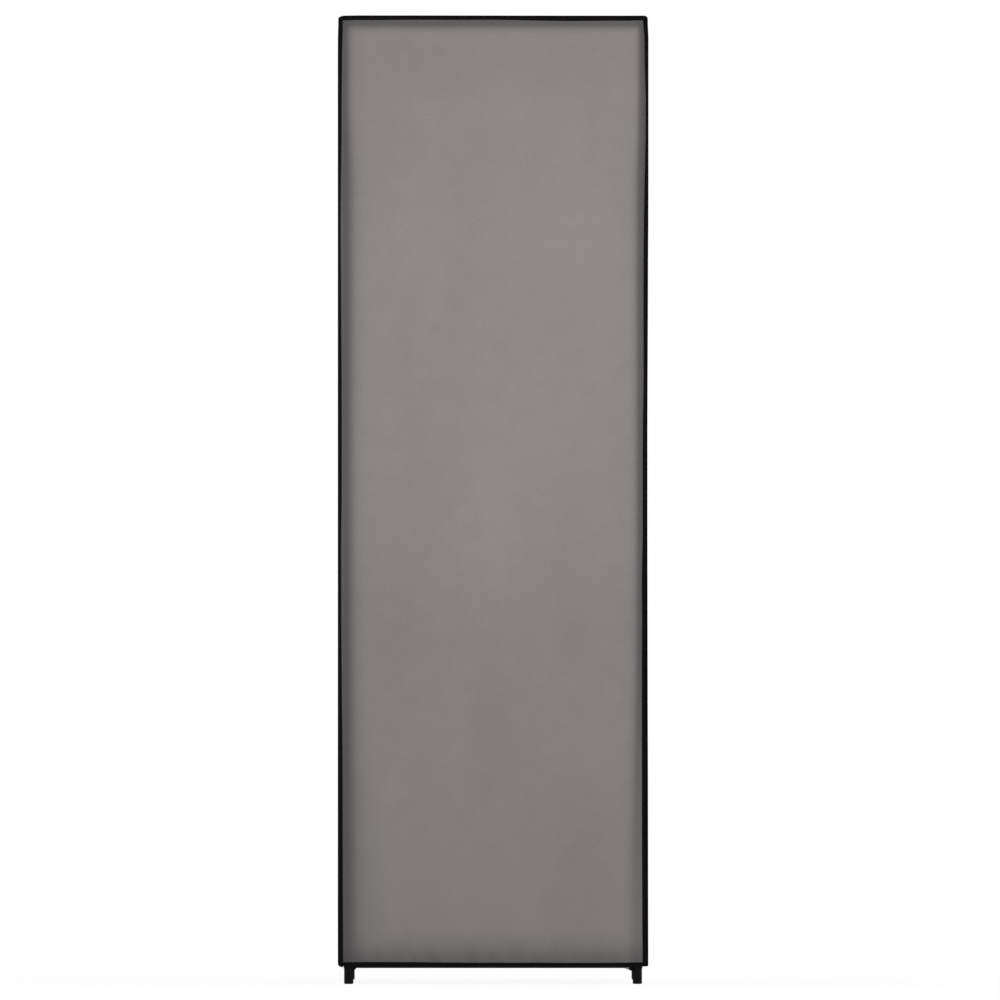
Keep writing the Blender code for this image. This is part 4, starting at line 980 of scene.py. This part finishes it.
def band(name, x_ends, z_ends, out, thickness, finish, body=ROOT, upright=True, lift=None,
         node=None):
    """A flat strip on the front whose face stands this far out of the cover's plane and whose long edges
    are eased. lift gives how far the face stands in from there at each (x, z)."""
    (low, high), ends = (sorted(x_ends), z_ends) if upright else (z_ends, x_ends)
    across = fine_at_ends(low, high, 0.0022, 0.0005, 0.001)
    along = between(*ends, 0.0040 if upright else 0.0030)
    z, x = np.meshgrid(*((along, across) if upright else (across, along)), indexing="ij")
    place = x if upright else z
    depth = thickness * 0.35 * (1 - blend_to(np.minimum(place - low, high - place), 0, 0.0009))
    if lift is not None:
        depth = depth + lift(x, z)
    return piece(name, stacked(x, depth - CLOTH_Y - out, z), finish, body=body,
                 uv=stacked(z, x) if upright else stacked(x, z), values={"tone": 1.0, "tube_shadow": 0.0},
                 outwards=FORWARDS, thickness=thickness, node=node)


def squashed(made):
    """Gives a piece of the curtain a mesh of its own."""
    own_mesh(made)


def curtain_trim():
    """The curtain's header fold, its zip tapes, its hem tape and their stitches. Returns what its sheet
    carries."""
    header = band("curtain_header", (-CURTAIN_HALF, CURTAIN_HALF), (OPENING_TOP, CURTAIN_TOP), HEADER_OUT,
                  0.0006, cover_cloth, upright=False)
    x = between(-0.3020, 0.3020, 0.004)
    header_stitches = sewn("curtain_header_stitches", [
        front_line(x, HEADER_OUT, z) for z in (OPENING_TOP + 0.0024, CURTAIN_TOP - 0.0022)])
    z = between(HEM_HOLDS, OPENING_TOP - 0.003, 0.006)
    tapes, lines = [], []
    for side, sign in SIDES:
        tapes.append(band(
            f"curtain_zip_tape_{side}", (sign * 0.2885, sign * (ZIP_X - 0.0019)),
            (HEM_EDGE + 0.0012, OPENING_TOP - 0.0006), CURTAIN_TAPE_OUT, 0.0003, zip_weave, lift=curtain_depth))
        x = sign * 0.2905
        lines.append(front_line(x, CURTAIN_TAPE_OUT - curtain_depth(x, z), z))
    tape_stitches = sewn("curtain_tape_stitches", lines)
    for made in (curtain, *tapes, tape_stitches):
        squashed(made)
    _, line = hem_tape("curtain_hem_tape", (-CURTAIN_HALF, -CLOTH_Y), (CURTAIN_HALF, -CLOTH_Y), FORWARDS,
                       0.00055, CURTAIN_HEM, body="curtain_hem", seed=500, node="curtain_hem")
    sewn("curtain_hem_stitches", [line], body="curtain_hem")
    return [header, *tapes, header_stitches, tape_stitches]


on_curtain = curtain_trim()


# Zips

TOOTH_PITCH = 0.0026


def teeth(name, x, heights, lean):
    """A row of zip teeth: each a block with rounded ends, its outline a superellipse with exponent 4, which
    narrows towards the tape as lean says."""
    v, shrink = np.array([[-1.0, -0.62, 0.62, 1.0], [0.72, 1.0, 1.0, 0.72]])[:, :, None]
    turn = np.arange(10) * math.tau / 10 + math.pi / 10
    across, up = (np.sign(part) * np.abs(part) ** 0.5 for part in (np.cos(turn), np.sin(turn)))
    width, height, depth = 0.0026, 0.00125, 0.0016
    rings = stacked(shrink * across * width / 2, v * depth / 2,
                    shrink * up * height / 2 * (1 + 0.28 * lean * across))
    points, faces = copies(*capped(rings, [0, -depth / 2, 0], [0, depth / 2, 0]),
                           stacked(x, -CLOTH_Y - TEETH_OUT, heights))
    return piece(name, points, teeth_finish, faces, smooth=False)


# One zip on each side: the cover's tape with its stitches and teeth, and the curtain's row of teeth, which
# parts from the other below the slider
for side, sign in SIDES:
    band(f"cover_zip_tape_{side}", (sign * (ZIP_X + 0.0019), sign * (ZIP_X + 0.0170)),
         (HEM_BOTTOM + 0.0004, CURTAIN_TOP), ZIP_TAPE_OUT, 0.0005, zip_weave, node=f"zip_tape_{side}")
    z = between(HEM_BOTTOM + 0.004, CURTAIN_TOP - 0.002, 0.006)
    sewn(f"zip_tape_stitches_{side}", [front_line(sign * (ZIP_X + x), ZIP_TAPE_OUT, z) for x in (0.0070, 0.0152)])
    highest = OPENING_TOP - 0.0018
    z = np.arange(0.0380, highest, TOOTH_PITCH)
    teeth(f"cover_teeth_{side}", sign * (ZIP_X + 0.00125), z, -sign)
    z = z + TOOTH_PITCH / 2
    z = z[(z < highest) & ((z > SLIDER_REST - 0.0020) | (z < 0.0768))]
    parted = 0.0010 * blend_to(0.0800 - z, 0.0, 0.020)
    squashed(teeth(f"curtain_teeth_{side}", sign * (ZIP_X - 0.00125 - parted), z, sign))


# Tie straps


def tie_strap(side, sign):
    """A strap of webbing that hangs in front of the curtain, with its end turned up and sewn, and the patch
    that holds it over the header. Returns the strap, the patch and what the strap carries."""
    x, half, thickness, body = sign * 0.150, 0.009, 0.0006, f"tie_strap_{side}"
    top, low = 1.4940, 1.2540
    ends = (x - half, x + half)
    strap = band(f"strap_{side}", ends, (low, top), STRAP_OUT, thickness, strap_weave, body=body, node=body)
    turned = band(f"strap_end_{side}", ends, (low + 0.0004, low + 0.014), STRAP_OUT + thickness, thickness,
                  strap_weave, body=body)
    across = between(x - half + 0.002, x + half - 0.002, 0.003)
    end_sewing = sewn(f"strap_end_stitches_{side}", [
        front_line(across, STRAP_OUT + thickness, low + up) for up in (0.0110, 0.0040)], body=body)
    patch = band(f"strap_patch_{side}", (x - 0.013, x + 0.013), (1.4918, 1.5150), PATCH_OUT, 0.00020,
                 binding_tape, upright=False)
    corners = (x - 0.0114, 1.4968), (x + 0.0114, 1.5134)
    across, up = (between(low, high, 0.003) for low, high in zip(*corners))
    rising = np.linspace(*up[[0, -1]], len(across))
    sewn(f"strap_patch_stitches_{side}", [
        front_line(*line) for line in (
            *((corner[0], PATCH_OUT, up) for corner in corners),
            *((across, PATCH_OUT, corner[1]) for corner in corners),
            (across, PATCH_OUT, rising), (across, PATCH_OUT, rising[::-1]),
        )])
    return strap, patch, [turned, end_sewing]


straps = [tie_strap(*place) for place in SIDES]


# Shelves


def shelf(name, height, seed):
    """A cloth shelf: a sheet that leaves each rail's sleeve at its top and sags between them, and the two
    sleeves, each a loop round its rail that is sewn back to the sheet. Returns the sheet and the rest."""
    columns = fine_at_ends(-SHELF_HALF_X, SHELF_HALF_X, 0.0090, 0.0040, 0.03)
    outer = TUBE + FIT + CLOTH
    y, x = np.meshgrid(between(-POST_Y, POST_Y, 0.0085), columns, indexing="ij")
    edge = blend_to(SHELF_HALF_X - np.abs(x), 0.0, 0.12)
    held = blend_to(POST_Y - np.abs(y), 0.006, 0.06)
    sag = (0.0048 + 0.0012 * edge) * (1 - (y / POST_Y) ** 2)
    soft = held * (0.0008 * ripples(x, y, 0.13, seed) + 0.00025 * ripples(x, y, 0.04, seed + 1))
    tone = 1 + 0.02 * ripples(x, y, 0.12, seed + 2)
    sheet = piece(f"{name}_sheet", stacked(x, y, height + outer - sag + soft), shelf_cloth,
                  uv=stacked(x, y), values={"tone": tone, "tube_shadow": 0.0}, outwards=UP, thickness=CLOTH,
                  node=name)
    turn, x = np.meshgrid(np.linspace(0, math.tau * 0.925, 33), columns, indexing="ij")
    radius = outer + 0.00008 * ripples(x, turn * 0.02, 0.05, seed + 5)
    # The sleeves' tone of 0.88 is painted shade from the rails inside them
    sleeves = [
        piece(f"{name}_sleeve_{place}",
              stacked(x, sign * (POST_Y + radius * np.sin(turn)), height + radius * np.cos(turn)), shelf_cloth,
              uv=stacked(x, turn * outer), values={"tone": 0.88, "tube_shadow": 0.0},
              thickness=CLOTH)
        for place, sign in ENDS]
    y_line = POST_Y - 0.0125
    z_line = height + outer - 0.0050 * (1 - (y_line / POST_Y) ** 2) + 0.0001
    stitches = sewn(f"{name}_stitches", [
        (stacked(between(-0.333, 0.333, 0.006), sign * y_line, z_line), UP) for sign in (-1, 1)])
    return sheet, [*sleeves, stitches]


bottom_shelf = shelf("bottom_shelf", BOTTOM_RAIL, 81)
middle_shelf = shelf("middle_shelf", SHELF_RAIL, 91)


# Frame


def turned_tube(name, node, profile):
    """A round tube in a node's place: a closed profile of its wall turned about the tube's axis, which is
    the node's longest side. A profile's points are (radius, end, distance in from that end)."""
    low, high = (np.array(corner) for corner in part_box(node))
    axis = int(np.argmax(high - low))
    others = [k for k in range(3) if k != axis]
    turn = np.arange(40) * math.tau / 40
    points = np.zeros((len(profile), len(turn), 3))
    for ring, (radius, end, inward) in zip(points, profile):
        ring[:, axis] = low[axis] + inward if end == "low" else high[axis] - inward
        ring[:, others] = (low + high)[others] / 2 + radius * stacked(np.cos(turn), np.sin(turn))
    made = piece(name, points, steel_finish, grid_quads(*points.shape[:2], True, True), node=node)
    made.data.set_sharp_from_angle(angle=math.radians(35))


PLAIN_TUBE = (
    (TUBE - 0.0002, "low", 0), (TUBE, "low", 0.0003), (TUBE, "high", 0.0003), (TUBE - 0.0002, "high", 0),
    (BORE, "high", 0), (BORE, "low", 0),
)
SWAGED_TUBE = (
    (TUBE - 0.0002, "low", 0), (TUBE, "low", 0.0003), (TUBE, "high", SPIGOT + 0.0016),
    (TUBE - 0.00015, "high", SPIGOT + 0.0012), (SWAGE + 0.0001, "high", SPIGOT + 0.0003),
    (SWAGE, "high", SPIGOT), (SWAGE, "high", 0), (SWAGE - 0.0007, "high", 0),
    (SWAGE - 0.0007, "high", SPIGOT), (BORE, "high", SPIGOT + 0.0015), (BORE, "low", 0),
)


def smoothed_copy(name, node, finish, edge, body=ROOT):
    """A copy of a moulded or cast node with its triangles merged, its flat faces joined and its edges
    rounded by a bevel."""
    mesh = NODES[node].data.copy()
    mesh.name = name
    with edited(mesh) as work:
        bmesh.ops.remove_doubles(work, verts=work.verts, dist=1e-6)
        bmesh.ops.dissolve_limit(work, angle_limit=math.radians(0.8), verts=work.verts, edges=work.edges)
    mesh.materials.clear()
    mesh.materials.append(finish)
    mesh.shade_smooth()
    mesh.set_sharp_from_angle(angle=math.radians(32))
    made = placed(name, mesh)
    soft = made.modifiers.new("edges", "BEVEL")
    soft.width = edge
    soft.segments = 2
    soft.limit_method = "ANGLE"
    soft.angle_limit = math.radians(35)
    soft.harden_normals = False
    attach(made, body)
    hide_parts(node)


for node in NODES:
    if node.startswith(("upright_", "bottom_rail", "shelf_rail", "top_rail", "hanging_rod")):
        turned_tube(f"{node}_tube", node, SWAGED_TUBE if node.endswith("_middle") else PLAIN_TUBE)
    elif "connector" in node or "bracket" in node:
        smoothed_copy(f"{node}_moulding", node, plastic_finish, 0.0004)
    elif node.startswith(("zip_slider", "pull_tab")):
        smoothed_copy(f"{node}_casting", node, metal_finish, 0.00018, body=node)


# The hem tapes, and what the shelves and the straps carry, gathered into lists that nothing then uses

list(hem_tapes)
for rail, (sheet, on_it) in (("bottom_rail", bottom_shelf), ("shelf_rail", middle_shelf)):
    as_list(on_it)
for strap, patch, on_it in straps:
    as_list(on_it)


# Room

WHITE = (1.0, 1.0, 1.0, 1)


def shown_rays(tree):
    """1 for the rays that show the white background: the camera's own, and those that metal and glass turn."""
    path = tree.node("LightPath")
    shown = tree.maths("MAXIMUM", path["Is Camera Ray"], path["Is Glossy Ray"])
    return tree.maths("MAXIMUM", shown, path["Is Transmission Ray"])


def room():
    """A white floor that keeps the wardrobe's shadow near it and is as white as the room beyond."""
    ring = np.array([0.0, 0.4, 0.8, 1.2, 1.8, 3.0, 6.0, 14.0])
    turn = np.arange(96) * math.tau / 96
    points = stacked(np.outer(ring, np.cos(turn)), np.outer(ring, np.sin(turn)), 0.0)
    mesh = bpy.data.meshes.new("floor")
    mesh.from_pydata(points.reshape(-1, 3).tolist(), [],
                     grid_quads(*points.shape[:2], around_columns=True).tolist())
    mesh.update()
    with edited(mesh) as work:
        bmesh.ops.remove_doubles(work, verts=work.verts, dist=1e-6)
        bmesh.ops.recalc_face_normals(work, faces=work.faces)
        if sum(face.normal.z for face in work.faces) < 0:
            bmesh.ops.reverse_faces(work, faces=work.faces)
    paint = bpy.data.materials.new("white floor")
    tree = Tree(paint, empty=True)
    away = tree.node("VectorMath", {0: tree.node("TexCoord")["Object"]}, operation="LENGTH")["Value"]
    share = tree.times(shown_rays(tree), tree.ranged(away, 0.5, 1.7, 0.94, 1.0, "SMOOTHSTEP"))
    diffuse = tree.node("BsdfDiffuse", {"Color": (0.92, 0.92, 0.92, 1)})[0]
    glow = tree.node("Emission", {"Color": WHITE, "Strength": 1.0})[0]
    tree.node("OutputMaterial", {"Surface": tree.node("MixShader", {0: share, 1: diffuse, 2: glow})[0]})
    mesh.materials.append(paint)
    placed("floor", mesh)


def surroundings():
    """A white world for the camera, and a softer one for everything else."""
    world = bpy.data.worlds.new("studio")
    bpy.context.scene.world = world
    tree = Tree(world, empty=True)
    lit = tree.node("Background", {"Color": WHITE, "Strength": 0.45})[0]
    seen = tree.node("Background", {"Color": WHITE, "Strength": 1.0})[0]
    tree.node("OutputWorld", {"Surface": tree.node("MixShader", {0: shown_rays(tree), 1: lit, 2: seen})[0]})


def lamp(name, place, target, size, power):
    """A square soft lamp at a place, turned to its target."""
    light = bpy.data.lights.new(name, "AREA")
    light.shape = "SQUARE"
    light.size = size
    light.energy = power
    made = placed(name, light)
    made.location = place
    aim = np.asarray(target, float) - np.asarray(place, float)
    made.rotation_euler = (
        math.acos(-aim[2] / np.linalg.norm(aim)), 0, math.atan2(aim[1], aim[0]) - math.pi / 2)


def camera():
    """The photograph's view: the left side, square on, from far away, 1.652 m across the frame."""
    distance, across = 78.0, 1.6519
    view = bpy.data.cameras.new("camera")
    view.sensor_width = 36
    view.lens = 36 * distance / across
    view.clip_end = 300
    made = placed("camera", view)
    made.location = (-HALF_X - distance, -0.01148, 0.79969)
    made.rotation_euler = (math.pi / 2, 0, -math.pi / 2)
    bpy.context.scene.camera = made


room()
surroundings()
lamp("key", (-4.2, -1.6, 3.0), (0, 0, 0.9), 2.2, 105)
lamp("front_fill", (1.0, -4.4, 2.2), (0, 0, 0.8), 2.3, 66)
lamp("back_fill", (3.2, 3.3, 2.8), (0, 0, 0.8), 2.5, 106)
camera()
bpy.context.scene.view_settings.view_transform = "Standard"
